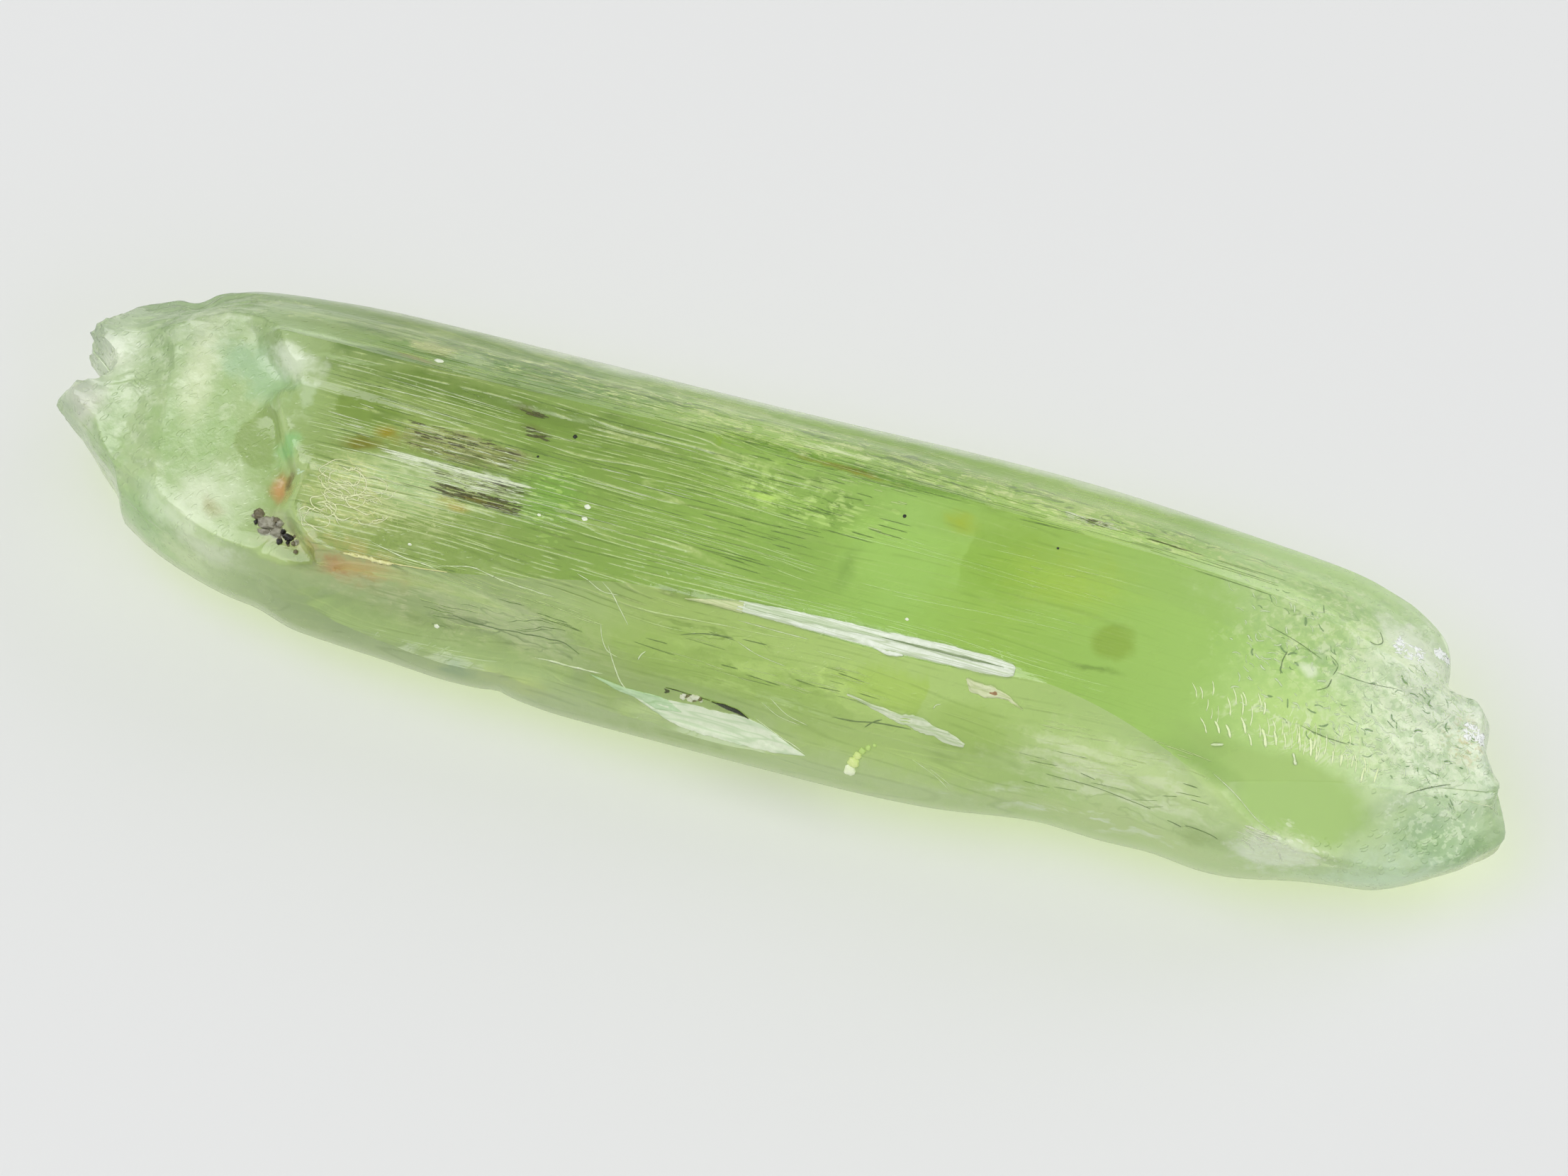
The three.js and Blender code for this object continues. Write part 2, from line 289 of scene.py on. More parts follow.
def nicked(rings):
    """The rings with the nicks pressed in."""
    x, y = rings[..., 0].copy(), rings[..., 1].copy()
    for at_x, at_y, reach, (along, across) in NICKS:
        away = np.clip(np.hypot(x - at_x, y - at_y) / reach, 0, 1)
        share = (1 - away**2) ** 2
        rings[..., 0] += along * share
        rings[..., 1] += across * share
    return rings


def skin_normals(rings):
    """The way out of the skin at every point of the rings."""
    across = np.roll(rings, -1, axis=1) - np.roll(rings, 1, axis=1)
    along = np.gradient(rings, axis=0)
    normals = np.cross(across, along)
    normals /= np.maximum(np.linalg.norm(normals, axis=2, keepdims=True), 1e-9)
    outward = rings - np.array([0, 0, AXIS_Z])
    outward[..., 0] = 0
    away_from_tips = slice(20, -20)
    flip = np.sign(np.sum(normals[away_from_tips] * outward[away_from_tips]))
    return normals * flip


# Waves raised on the skin: seed, height, and the length of a swell across and along a face.
# The hackle's last number is the swell that it starts with.
GROWTH_STEPS = (2, 0.002, 0.34, 7.0)
GROWTH_RIDGES = [(1, 0.006, 0.62, 9.0), (3, 0.004, 0.19, 4.0), (4, 0.002, 0.10, 2.5)]
HACKLE = [(5, 0.030, 0.70, 0.80, 3), (6, 0.012, 0.30, 0.33, 0), (7, 0.006, 0.15, 0.15, 0)]
SCOOP_RIPPLE = (0.012, 0.62)  # height and spacing


def relief(rings):
    """How far each point of the skin stands out or in, in millimetres."""
    x, y, z = rings[..., 0], rings[..., 1], rings[..., 2]
    face = np.repeat(np.arange(len(FACES)), COLUMNS)[None, :]
    ways = np.array([row[4] for row in FACES])
    apart = 17.3  # so that no two faces have the same waves
    across = y * ways[face, 0] + z * ways[face, 1] + apart * face

    striated = np.array([row[5] for row in FACES])[face]
    upper = face == FACE_NAMES.index("upper")
    near_bevel = face == FACE_NAMES.index("near bevel")
    shelf = upper * (1 - smooth(-14.8, -12.4, x)) * (1 - smooth(5.1, 5.35, z))
    lens = smooth(1.1, 0.9, np.hypot((x - 14.8) / 2.9, (y + 2.8) / 1.1))
    ends = smooth(14.5, 17.5, np.abs(x))
    etched = smooth(9.5, 13.5, x)
    grown = striated * (1 - 0.6 * smooth(-1, 4, x)) * (1 - 0.65 * etched) * (1 - ends)
    grown = grown * (1 - 0.9 * shelf) * (1 - 0.95 * lens)

    seed, high, wide, long = GROWTH_STEPS
    out = high * np.sign(wave(seed, across / wide, x / long))
    for seed, high, wide, long in GROWTH_RIDGES:
        out = out + high * wave(seed, across / wide, x / long)
    out = grown * out

    broken = np.clip(ends + 0.35 * etched * upper * (1 - lens), 0, 1) * (1 - lens)
    for seed, high, wide, long, start in HACKLE:
        out = out + broken * high * wave(seed, x / long + start, across / wide)
    scoop = near_bevel * smooth(-14.5, -12.5, x) * (1 - smooth(-4.5, -3.0, x))
    ribs = np.sqrt((x + 13.5) ** 2 + (1.6 * (z - 5.6)) ** 2) + 0.3 * wave(8, x, z)
    high, spacing = SCOOP_RIPPLE
    return out + high * scoop * np.sin(2 * math.pi * ribs / spacing)


def crystal_skin():
    """The points and faces of the crystal's finished surface."""
    rings, tips, body = lay_rings()
    rings = nicked(even_out(rings, body))
    normals = skin_normals(rings)
    rings = rings + normals * relief(rings)[..., None]
    count, around = rings.shape[:2]
    points = np.vstack([rings.reshape(-1, 3), tips])
    a = (np.arange(count - 1)[:, None] * around + np.arange(around)).ravel()
    b = (np.arange(count - 1)[:, None] * around + (np.arange(around) + 1) % around).ravel()
    quads = np.stack([a, a + around, b + around, b], axis=1).tolist()
    left, right = count * around, count * around + 1
    last = (count - 1) * around
    ring = np.arange(around)
    after = (ring + 1) % around
    caps = [(left, int(i), int(j)) for i, j in zip(ring, after)]
    caps += [(right, int(last + j), int(last + i)) for i, j in zip(ring, after)]
    return points, quads + caps


# ---------------------------------------------------------------------------------------------
# Nodes
# ---------------------------------------------------------------------------------------------


def tint(red, green, blue):
    """A colour given as 0-255 screen values, as the linear values that shaders use."""
    values = [c / 255 for c in (red, green, blue)]
    linear = [v / 12.92 if v <= 0.04045 else ((v + 0.055) / 1.055) ** 2.4 for v in values]
    return (*linear, 1.0)


# How much of the light that leaves the crystal came up through it, for red, green and blue,
# and how much was thrown straight back by its skin.
THROUGH = (0.355, 0.46, 0.245)
THROWN_BACK = 0.36


def skin_tint(red, green, blue):
    """The skin colour that makes the crystal look this colour on a pale table."""
    skin = []
    for through, want in zip(THROUGH, tint(red, green, blue)):
        root = math.sqrt(through**2 + 4 * THROWN_BACK * want) - through
        skin.append(min(1.0, (root / (2 * THROWN_BACK)) ** 2))
    return (*skin, 1.0)


class Nodes:
    """Puts nodes into a material or a group, and joins them up."""

    def __init__(self, tree):
        self.tree = tree

    def feed(self, socket, value):
        """Joins a socket to the value, or gives it the value if that is a number or colour."""
        if isinstance(value, bpy.types.NodeSocket):
            self.tree.links.new(value, socket)
        else:
            socket.default_value = value

    def put(self, kind, inputs, **settings):
        """A new node of a kind, with its inputs fed and its settings made."""
        node = self.tree.nodes.new(kind)
        for key, value in settings.items():
            setattr(node, key, value)
        for socket, value in inputs.items():
            self.feed(node.inputs[socket], value)
        return node

    def math(self, operation, a, b=0.0):
        """One step of arithmetic on numbers."""
        return self.put("ShaderNodeMath", {0: a, 1: b}, operation=operation).outputs[0]

    def times(self, *values):
        """The product of some values."""
        product = values[0]
        for value in values[1:]:
            product = self.math("MULTIPLY", product, value)
        return product

    def total(self, *values):
        """The sum of some values."""
        result = values[0]
        for value in values[1:]:
            result = self.math("ADD", result, value)
        return result

    def vector(self, operation, a, b=(0, 0, 0)):
        """One step of arithmetic on vectors."""
        return self.put("ShaderNodeVectorMath", {0: a, 1: b}, operation=operation).outputs[0]

    def scaled(self, vector, factor):
        """The vector times a number."""
        node = self.put("ShaderNodeVectorMath", {0: vector, "Scale": factor}, operation="SCALE")
        return node.outputs[0]

    def length(self, vector):
        """How long the vector is."""
        return self.put("ShaderNodeVectorMath", {0: vector}, operation="LENGTH").outputs["Value"]

    def turned(self, vector, angle):
        """The vector turned round Z."""
        inputs = {"Vector": vector, "Angle": angle}
        return self.put("ShaderNodeVectorRotate", inputs, rotation_type="Z_AXIS").outputs[0]

    def split(self, vector):
        """The vector's X, Y and Z."""
        return self.put("ShaderNodeSeparateXYZ", {0: vector}).outputs

    def combined(self, x, y, z=0.0):
        """The vector with these parts."""
        return self.put("ShaderNodeCombineXYZ", {"X": x, "Y": y, "Z": z}).outputs[0]

    def spread(self, value, low, high, to_low=0.0, to_high=1.0):
        """A smooth step from to_low at low to to_high at high."""
        inputs = {"Value": value, "From Min": low, "From Max": high}
        inputs.update({"To Min": to_low, "To Max": to_high})
        node = self.put("ShaderNodeMapRange", inputs, interpolation_type="SMOOTHSTEP")
        return node.outputs["Result"]

    def blend(self, mask, a, b):
        """Colour a, turning to colour b where the mask is 1."""
        node = self.put("ShaderNodeMix", {}, data_type="RGBA")
        for socket, value in ((node.inputs[0], mask), (node.inputs[6], a), (node.inputs[7], b)):
            self.feed(socket, value)
        return node.outputs[2]

    def noise(self, point, scale=1.0, detail=2.0, roughness=0.5):
        """Cloudy noise from 0 to 1, mostly near 0.5."""
        inputs = {"Vector": point, "Scale": scale, "Detail": detail, "Roughness": roughness}
        return self.put("ShaderNodeTexNoise", inputs).outputs["Fac"]

    def ramp(self, value, stops):
        """A colour ramp with (place, colour) stops."""
        node = self.put("ShaderNodeValToRGB", {"Fac": value})
        elements = node.color_ramp.elements
        while len(elements) < len(stops):
            elements.new(0.5)
        for element, (place, colour) in zip(elements, stops):
            element.position = place
            element.color = colour
        return node.outputs["Color"]

    def group(self, tree, label="", **inputs):
        """A node group, placed with its own values."""
        return self.put("ShaderNodeGroup", inputs, node_tree=tree, label=label).outputs

    def part_point(self):
        """The place on the part in millimetres."""
        return self.scaled(self.put("ShaderNodeTexCoord", {}).outputs["Object"], 1 / MM)

    def ragged(self, point, size, reach):
        """The same place shifted by up to about `reach`, in swirls of about `size`."""
        node = self.put("ShaderNodeTexNoise", {"Vector": point, "Scale": 1 / size, "Detail": 2.0})
        centred = self.vector("SUBTRACT", node.outputs["Color"], (0.5, 0.5, 0.5))
        return self.vector("ADD", point, self.scaled(centred, 3 * reach))


def new_group(name, inputs, outputs):
    """An empty node group with named inputs, each with a default, and named outputs."""
    tree = bpy.data.node_groups.new(name, "ShaderNodeTree")
    for label, (kind, default) in inputs.items():
        socket = tree.interface.new_socket(label, in_out="INPUT", socket_type="NodeSocket" + kind)
        socket.default_value = default
    for label in outputs:
        tree.interface.new_socket(label, in_out="OUTPUT", socket_type="NodeSocketFloat")
    nodes = Nodes(tree)
    given = nodes.put("NodeGroupInput", {}).outputs
    result = nodes.put("NodeGroupOutput", {}).inputs
    return tree, nodes, given, result


def threads_group():
    """Thin lines: straight and parallel where Size is long one way, curly where it is even."""
    tree, nodes, given, result = new_group(
        "threads",
        {
            "Point": ("Vector", (0, 0, 0)),
            "Size": ("Vector", (6, 0.2, 0.2)),
            "Width": ("Float", 0.08),
        },
        ("Lines", "Height"),
    )
    swell = nodes.noise(nodes.vector("DIVIDE", given["Point"], given["Size"]), 1.0, 1.0)
    away = nodes.math("ABSOLUTE", nodes.math("SUBTRACT", swell, 0.5))
    nodes.feed(result["Lines"], nodes.spread(away, given["Width"], 0.0))
    nodes.feed(result["Height"], swell)
    return tree


def growth_lines_group():
    """Fine raised lines side by side along the crystal, each broken into dashes of its own."""
    tree, nodes, given, result = new_group(
        "growth_lines",
        {
            "Point": ("Vector", (0, 0, 0)),
            "Spacing": ("Float", 0.2),
            "Length": ("Float", 3.0),
            "Width": ("Float", 0.2),
            "Seed": ("Float", 0.0),
        },
        ("Lines",),
    )
    drift = nodes.noise(nodes.vector("DIVIDE", given["Point"], (9.0, 0.9, 1.2)), 1.0, 1.0)
    place = nodes.split(given["Point"])
    even = nodes.math("DIVIDE", place["Y"], given["Spacing"])
    across = nodes.total(even, nodes.times(drift, 6.0))
    lane = nodes.math("FLOOR", across)
    off = nodes.math("ABSOLUTE", nodes.math("SUBTRACT", nodes.math("FRACT", across), 0.5))
    along = nodes.total(nodes.math("DIVIDE", place["X"], given["Length"]), nodes.times(lane, 7.31))
    spot = nodes.combined(along, nodes.times(lane, 3.17), given["Seed"])
    dashes = nodes.spread(nodes.noise(spot, 1.0, 2.0, 0.7), 0.44, 0.60)
    nodes.feed(result["Lines"], nodes.times(nodes.spread(off, given["Width"], 0.0), dashes))
    return tree


def patch_group():
    """A soft-edged oval patch anywhere on the crystal, whole inside Inner and gone at Outer."""
    tree, nodes, given, result = new_group(
        "patch",
        {
            "Point": ("Vector", (0, 0, 0)),
            "Centre": ("Vector", (0, 0, 0)),
            "Size": ("Vector", (1, 1, 1)),
            "Turn": ("Float", 0.0),
            "Inner": ("Float", 0.5),
            "Outer": ("Float", 1.3),
            "Fray": ("Float", 0.0),
        },
        ("Mask",),
    )
    away = nodes.vector("SUBTRACT", given["Point"], given["Centre"])
    turned = nodes.turned(away, given["Turn"])
    reach = nodes.length(nodes.vector("DIVIDE", turned, given["Size"]))
    reach = nodes.math("ADD", reach, given["Fray"])
    nodes.feed(result["Mask"], nodes.spread(reach, given["Outer"], given["Inner"]))
    return tree


def crumble_group():
    """The grainy light and dark of frosted, etched or fibrous surfaces."""
    tree, nodes, given, result = new_group(
        "crumble",
        {"Point": ("Vector", (0, 0, 0)), "Size": ("Float", 0.3), "Contrast": ("Float", 0.5)},
        ("Grain", "Height"),
    )
    scale = nodes.math("DIVIDE", 1.0, given["Size"])
    rough = nodes.noise(given["Point"], scale, 3.0, 0.65)
    half = nodes.math("SUBTRACT", 0.55, nodes.math("MULTIPLY", given["Contrast"], 0.45))
    top = nodes.math("SUBTRACT", 1.1, half)
    nodes.feed(result["Grain"], nodes.spread(rough, half, top))
    nodes.feed(result["Height"], rough)
    return tree


THREADS = threads_group()
GROWTH_LINES = growth_lines_group()
PATCH = patch_group()
CRUMBLE = crumble_group()


def patch(nodes, label, point, centre, size, turn, softness, fray):
    """The mask of a patch, placed in a material."""
    places = {"Point": point, "Centre": centre, "Size": size, "Turn": math.radians(-turn)}
    edges = {"Inner": 1 - softness, "Outer": 1 + 0.6 * softness, "Fray": fray}
    return nodes.group(PATCH, label, **places, **edges)["Mask"]


# ---------------------------------------------------------------------------------------------
# Finishes
# ---------------------------------------------------------------------------------------------


def new_material(name):
    """A new material, its nodes, and the shader in it."""
    material = bpy.data.materials.new(name)
    material.use_nodes = True
    shader = material.node_tree.nodes["Principled BSDF"]
    return material, Nodes(material.node_tree), shader


def bump(nodes, shader, height, depth):
    """Raises the surface by the height, `depth` millimetres for a whole unit."""
    node = nodes.put("ShaderNodeBump", {"Height": height, "Distance": depth * MM, "Strength": 1.0})
    nodes.feed(shader.inputs["Normal"], node.outputs["Normal"])


# How the crystal looks from its left end to its right end, as (x, colour): its upper face,
# its near bevel and its far bevel.
UPPER_COLOURS = [
    (-20.0, (186, 208, 168)),
    (-17.5, (178, 203, 154)),
    (-14.6, (170, 196, 140)),
    (-12.6, (150, 175, 110)),
    (-10.5, (144, 168, 96)),
    (-7.5, (144, 172, 96)),
    (-5.0, (143, 175, 92)),
    (-2.0, (148, 182, 95)),
    (0.5, (152, 188, 99)),
    (3.0, (161, 200, 107)),
    (6.0, (159, 195, 98)),
    (9.0, (160, 197, 107)),
    (11.5, (163, 199, 115)),
    (14.5, (181, 212, 144)),
    (17.0, (202, 226, 182)),
    (20.0, (200, 222, 186)),
]
NEAR_COLOURS = [
    (-20.0, (180, 204, 158)),
    (-15.0, (182, 206, 152)),
    (-12.5, (176, 200, 138)),
    (-9.0, (172, 196, 132)),
    (-5.0, (174, 199, 132)),
    (-2.6, (170, 196, 120)),
    (0.0, (177, 204, 126)),
    (4.0, (184, 211, 134)),
    (8.0, (180, 208, 134)),
    (11.0, (190, 216, 150)),
    (14.0, (188, 212, 154)),
    (20.0, (176, 204, 154)),
]
FAR_COLOURS = [
    (-20.0, (172, 196, 154)),
    (-15.0, (152, 180, 122)),
    (-12.0, (126, 156, 72)),
    (-7.0, (122, 158, 58)),
    (-3.5, (146, 182, 74)),
    (0.5, (148, 186, 74)),
    (2.5, (142, 180, 66)),
    (5.0, (154, 191, 84)),
    (8.0, (168, 202, 104)),
    (10.0, (158, 195, 100)),
    (12.0, (180, 213, 138)),
    (14.0, (183, 214, 145)),
    (20.0, (200, 220, 186)),
]

# What marks the crystal: name, centre, half-sizes, turn, softness, look, strength, texture.
# Each is laid over the ones before it, so wide ones come before the small ones in them. A plain
# mark and a clean one have no texture, and the edges of clean and tilted ones are hardly frayed.
MARKS = [
    # The far bevel, and the highlight painted along its far rim.
    # Painted highlight: the two far rim marks are near white, standing for the light that the rim catches.
    ("far rim highlight, painted", (-6.0, 5.05, 2.6), (11, 0.88, 2.1), 0, 0.6, (255, 255, 250), 0.95, "clean"),
    ("thin far rim highlight, painted", (7.0, 5.1, 2.6), (9.5, 0.60, 1.7), 0, 0.6, (240, 248, 214), 0.8, "clean"),
    ("deep far band", (-8.6, 3.0, 5.1), (4.6, 0.80, 0.60), 0, 0.7, (92, 138, 16), 0.85, "plain"),
    ("deep far crest", (1.6, 2.45, 5.5), (4.4, 0.30, 0.30), 0, 0.7, (104, 150, 10), 0.7, "plain"),
    ("pale far veins", (-1.0, 3.7, 4.7), (17, 1.1, 1.2), 0, 0.5, (190, 210, 138), 0.5, "veils"),
    ("pale far dashes", (1.0, 3.3, 5.0), (15, 1.0, 1.0), 0, 0.4, (214, 228, 160), 0.7, "dashes"),
    ("dark far dashes", (0.0, 3.3, 5.0), (15, 1.0, 1.0), 0, 0.4, (92, 124, 50), 0.8, "hairs"),
    ("deep far blotch", (-12.4, 3.2, 4.85), (1.1, 0.35, 0.34), 4, 0.8, (96, 128, 44), 0.85, "plain"),
    ("deep far blotch 2", (-7.5, 2.9, 5.05), (0.8, 0.22, 0.34), 0, 0.8, (116, 142, 72), 0.7, "plain"),
    ("deep upper band", (-8.3, 1.45, 5.8), (4.8, 0.45, 0.5), 0, 0.6, (114, 144, 62), 0.9, "plain"),
    ("deep upper field", (-5.6, 0.9, 5.8), (3.4, 1.0, 0.5), 0, 0.8, (132, 162, 79), 0.6, "plain"),
    # The shelf and the ledge at the left end.
    ("shelf clouds", (-17.0, -0.6, 4.2), (3.6, 4.2, 2.2), 0, 0.6, (208, 226, 190), 0.5, "mottle"),
    ("shelf green", (-17.0, -1.6, 4.0), (3.6, 3.2, 2.2), 0, 0.6, (160, 194, 130), 0.6, "clouds"),
    # Painted light: the left tips are pale, and are painted paler still so that the shade on their facets
    # hardly shows.
    ("left tips, painted light", (-19.6, 0.0, 3.0), (1.0, 3.0, 3.0), 0, 0.9, (228, 236, 214), 0.35, "plain"),
    ("pale upper tip", (-19.1, 0.8, 4.0), (0.8, 0.6, 0.7), 0, 0.9, (236, 244, 216), 0.85, "plain"),
    ("pale lower tip", (-19.35, -0.65, 3.85), (0.6, 0.6, 0.6), 0, 0.9, (222, 226, 206), 0.6, "plain"),
    # Painted light: the lower left rim is painted paler, so that the shade on its steep lower faces hardly
    # shows.
    ("left rim, painted light", (-18.0, -2.7, 2.3), (2.4, 1.5, 1.0), 0, 0.9, (224, 236, 208), 0.8, "plain"),
    ("green left foot", (-16.4, -3.6, 3.1), (1.9, 0.6, 1.0), -25, 0.9, (160, 200, 132), 0.75, "plain"),
    ("pale left foot", (-15.4, -4.0, 3.1), (1.2, 0.5, 0.8), -20, 0.9, (212, 230, 182), 0.8, "plain"),
    ("pale lip foot", (-14.9, -3.98, 3.95), (1.2, 0.35, 0.5), -17, 0.9, (220, 240, 200), 0.8, "plain"),
    ("pale lip foot, left", (-16.5, -3.15, 4.15), (0.9, 0.4, 0.4), -40, 0.9, (210, 232, 194), 0.6, "plain"),
    ("milky shelf cloud", (-15.3, -2.95, 4.5), (1.2, 1.0, 0.8), 15, 1.0, (216, 230, 200), 0.85, "plain"),
    ("whitish shelf band", (-16.5, 0.7, 4.8), (0.5, 1.7, 0.7), 8, 1.0, (218, 232, 194), 0.75, "plain"),
    ("turquoise shelf", (-14.9, 0.95, 5.0), (1.5, 0.7, 0.8), -25, 0.6, (168, 202, 160), 0.8, "plain"),
    ("clean shelf lens", (-14.25, -0.8, 4.85), (0.68, 0.95, 0.6), 10, 0.15, (150, 176, 113), 0.95, "clean"),
    ("lens rim", (-13.75, 0.05, 4.9), (0.55, 0.10, 0.5), -28, 0.6, (206, 226, 182), 0.8, "plain"),
    ("clean olive window", (-11.7, 0.35, 5.7), (0.9, 0.6, 0.5), 0, 0.3, (126, 153, 72), 0.85, "plain"),
    ("turquoise spot", (-13.38, -1.12, 5.4), (0.42, 0.34, 0.7), 20, 0.7, (148, 202, 138), 0.8, "plain"),
    ("turquoise chip", (-12.84, -1.82, 5.5), (0.14, 0.17, 0.5), 0, 0.5, (206, 236, 210), 0.9, "chips"),
    ("pale ledge chip", (-13.35, 0.42, 5.6), (0.24, 0.34, 0.5), -15, 0.4, (186, 208, 168), 0.7, "plain"),
    ("pale ledge top", (-14.1, 1.15, 5.5), (0.8, 0.45, 0.6), -10, 0.7, (218, 236, 204), 0.85, "plain"),
    ("shelf pink spot", (-14.85, -3.1, 4.57), (0.30, 0.16, 0.4), -35, 1.0, (172, 176, 132), 0.8, "plain"),
    ("pale far wave", (-13.6, 2.2, 5.3), (1.6, 0.15, 0.5), 4, 0.8, (184, 210, 160), 0.75, "plain"),
    ("pale far wave 2", (-12.9, 1.55, 5.77), (1.0, 0.07, 0.4), 5, 0.8, (172, 198, 140), 0.7, "plain"),
    ("olive far wave", (-13.4, 2.75, 5.0), (1.5, 0.20, 0.4), 3, 0.8, (130, 156, 88), 0.7, "plain"),
    ("deep upper streak", (-11.9, 2.05, 5.6), (1.5, 0.25, 0.5), 2, 0.8, (98, 132, 58), 0.85, "plain"),
    # Beside the ledge: scratches, fibres and stains.
    ("pale mid patch", (-10.0, -1.5, 5.69), (1.7, 0.7, 0.5), 0, 0.7, (186, 212, 156), 0.7, "plain"),
    ("scratched patch", (-11.4, -2.35, 5.6), (1.25, 1.0, 0.6), 0, 0.7, (174, 192, 124), 0.75, "plain"),
    ("curly scratches", (-11.4, -2.2, 5.6), (1.15, 1.0, 0.6), 0, 0.4, (220, 224, 162), 0.6, "curls"),
    ("dark curls", (-11.0, -2.3, 5.6), (0.9, 0.8, 0.6), 0, 0.4, (128, 146, 80), 0.5, "hairs"),
    ("pale fibre field", (-10.2, -1.9, 5.65), (2.4, 1.0, 0.6), 0, 0.6, (208, 220, 166), 0.6, "fibres"),
    ("fibrous patch", (-9.0, -0.02, 5.73), (1.75, 0.42, 0.5), 2, 0.4, (160, 168, 110), 0.8, "plain"),
    ("fibrous patch, light", (-9.0, -0.02, 5.73), (1.8, 0.46, 0.5), 2, 0.4, (214, 220, 172), 0.6, "dashes"),
    ("fibrous patch, dark", (-8.8, -0.05, 5.73), (1.7, 0.46, 0.5), 2, 0.4, (92, 100, 46), 0.75, "fibres"),
    ("white fibres", (-8.95, -0.66, 5.73), (1.95, 0.09, 0.4), 1, 0.5, (228, 238, 204), 0.8, "plain"),
    ("white fibres, edge", (-8.6, -0.84, 5.73), (1.9, 0.32, 0.4), 1, 0.6, (228, 236, 206), 0.9, "fibres"),
    ("pale fibres", (-8.3, -0.98, 5.74), (1.6, 0.30, 0.4), 0, 0.7, (196, 214, 162), 0.8, "plain"),
    ("pale fibres, dark", (-8.0, -1.05, 5.74), (1.6, 0.36, 0.4), 0, 0.5, (104, 118, 64), 0.7, "fibres"),
    ("brown fibres", (-7.95, -1.38, 5.75), (1.3, 0.19, 0.4), -2, 0.6, (86, 76, 20), 0.9, "fibres"),
    ("brown fibres, soft", (-8.05, -1.38, 5.75), (1.2, 0.13, 0.4), -2, 0.9, (124, 120, 48), 0.7, "plain"),
    ("brown fibres, upper", (-7.0, -0.83, 5.77), (0.55, 0.08, 0.4), -3, 0.8, (84, 88, 38), 0.9, "plain"),
    ("amber fibres", (-8.6, -1.68, 5.72), (0.42, 0.16, 0.4), 0, 0.9, (172, 162, 52), 0.85, "plain"),
    ("brown stain", (-11.45, -0.62, 5.67), (0.78, 0.26, 0.4), 4, 0.8, (126, 128, 10), 0.95, "plain"),
    ("amber spot", (-10.95, -0.15, 5.7), (0.36, 0.28, 0.4), 10, 0.8, (154, 146, 0), 0.95, "plain"),
    ("dark fibres, far", (-7.55, 1.50, 5.76), (0.45, 0.12, 0.4), 0, 0.9, (108, 120, 54), 0.7, "plain"),
    ("dark fibres, far 2", (-7.18, 0.96, 5.77), (0.34, 0.17, 0.4), 0, 0.9, (108, 120, 56), 0.7, "plain"),
    ("beige oval", (-10.72, 3.0, 5.02), (0.62, 0.44, 0.5), 0, 0.5, (176, 186, 128), 0.75, "plain"),
    ("pale window", (-9.6, 2.86, 5.14), (0.6, 0.38, 0.4), 0, 0.5, (166, 188, 140), 0.6, "plain"),
    ("brown under oval", (-10.9, 2.25, 5.6), (0.6, 0.13, 0.5), 0, 0.8, (134, 128, 62), 0.8, "plain"),
    ("orange rim", (-13.28, -2.14, 4.9), (0.38, 0.52, 0.7), 0, 0.9, (158, 156, 92), 0.7, "plain"),
    ("orange spot", (-13.3, -2.14, 4.9), (0.25, 0.34, 0.7), 0, 0.9, (196, 156, 104), 0.95, "plain"),
    ("orange tail", (-13.05, -1.95, 5.1), (0.10, 0.20, 0.6), 10, 0.8, (118, 104, 56), 0.85, "plain"),
    ("grey halo", (-13.0, -3.3, 4.7), (0.80, 0.50, 0.6), -28, 0.9, (180, 188, 152), 0.7, "plain"),
    ("rust halo", (-10.7, -3.85, 4.85), (1.95, 0.72, 0.8), -4, 0.9, (194, 194, 134), 0.7, "plain"),
    ("rust under crest", (-10.8, -3.84, 4.92), (1.2, 0.48, 0.62), -4, 0.9, (194, 168, 108), 0.9, "plain"),
    ("rust core", (-11.4, -3.86, 4.84), (0.40, 0.30, 0.48), -4, 0.9, (180, 134, 78), 0.85, "plain"),
    # Painted shade: the rounded lip is painted darker green, to hide a lamp's highlight on it.
    ("lip, painted shade", (-12.25, -3.98, 4.74), (0.65, 0.26, 0.4), -4, 0.9, (128, 158, 90), 0.8, "plain"),
    # The clear middle of the upper face.
    ("bright green window", (-6.2, -0.75, 5.8), (0.85, 0.95, 0.5), 0, 0.8, (134, 180, 82), 0.7, "plain"),
    ("window specks", (-6.0, -0.9, 5.8), (0.9, 1.1, 0.5), 0, 0.6, (186, 220, 126), 0.5, "chips"),
    ("dark middle", (0.2, -0.4, 5.85), (1.3, 1.5, 0.5), 0, 0.8, (142, 178, 92), 0.6, "plain"),
    ("dark spot, upper", (1.2, 1.05, 5.8), (0.4, 0.45, 0.4), 0, 0.8, (126, 162, 80), 0.7, "plain"),
    ("dark spot, lower", (1.85, -0.45, 5.84), (0.26, 0.7, 0.4), -10, 0.8, (122, 156, 80), 0.6, "plain"),
    ("dark mottles", (-0.2, 1.3, 5.75), (2.2, 0.9, 0.4), 0, 0.6, (104, 142, 60), 0.7, "hairs"),
    ("bright mottles", (0.4, 1.1, 5.8), (2.5, 0.9, 0.4), 0, 0.6, (196, 224, 142), 0.75, "dashes"),
    ("bright mottles, left", (-1.1, 1.25, 5.8), (0.7, 0.75, 0.4), 0, 0.6, (196, 226, 138), 0.7, "mottle"),
    ("bright mottle", (-0.93, 0.9, 5.8), (0.42, 0.15, 0.4), 6, 0.9, (188, 224, 118), 0.85, "plain"),
    ("bright mottles, middle", (0.55, 1.05, 5.8), (0.6, 0.6, 0.4), 0, 0.6, (192, 223, 138), 0.65, "mottle"),
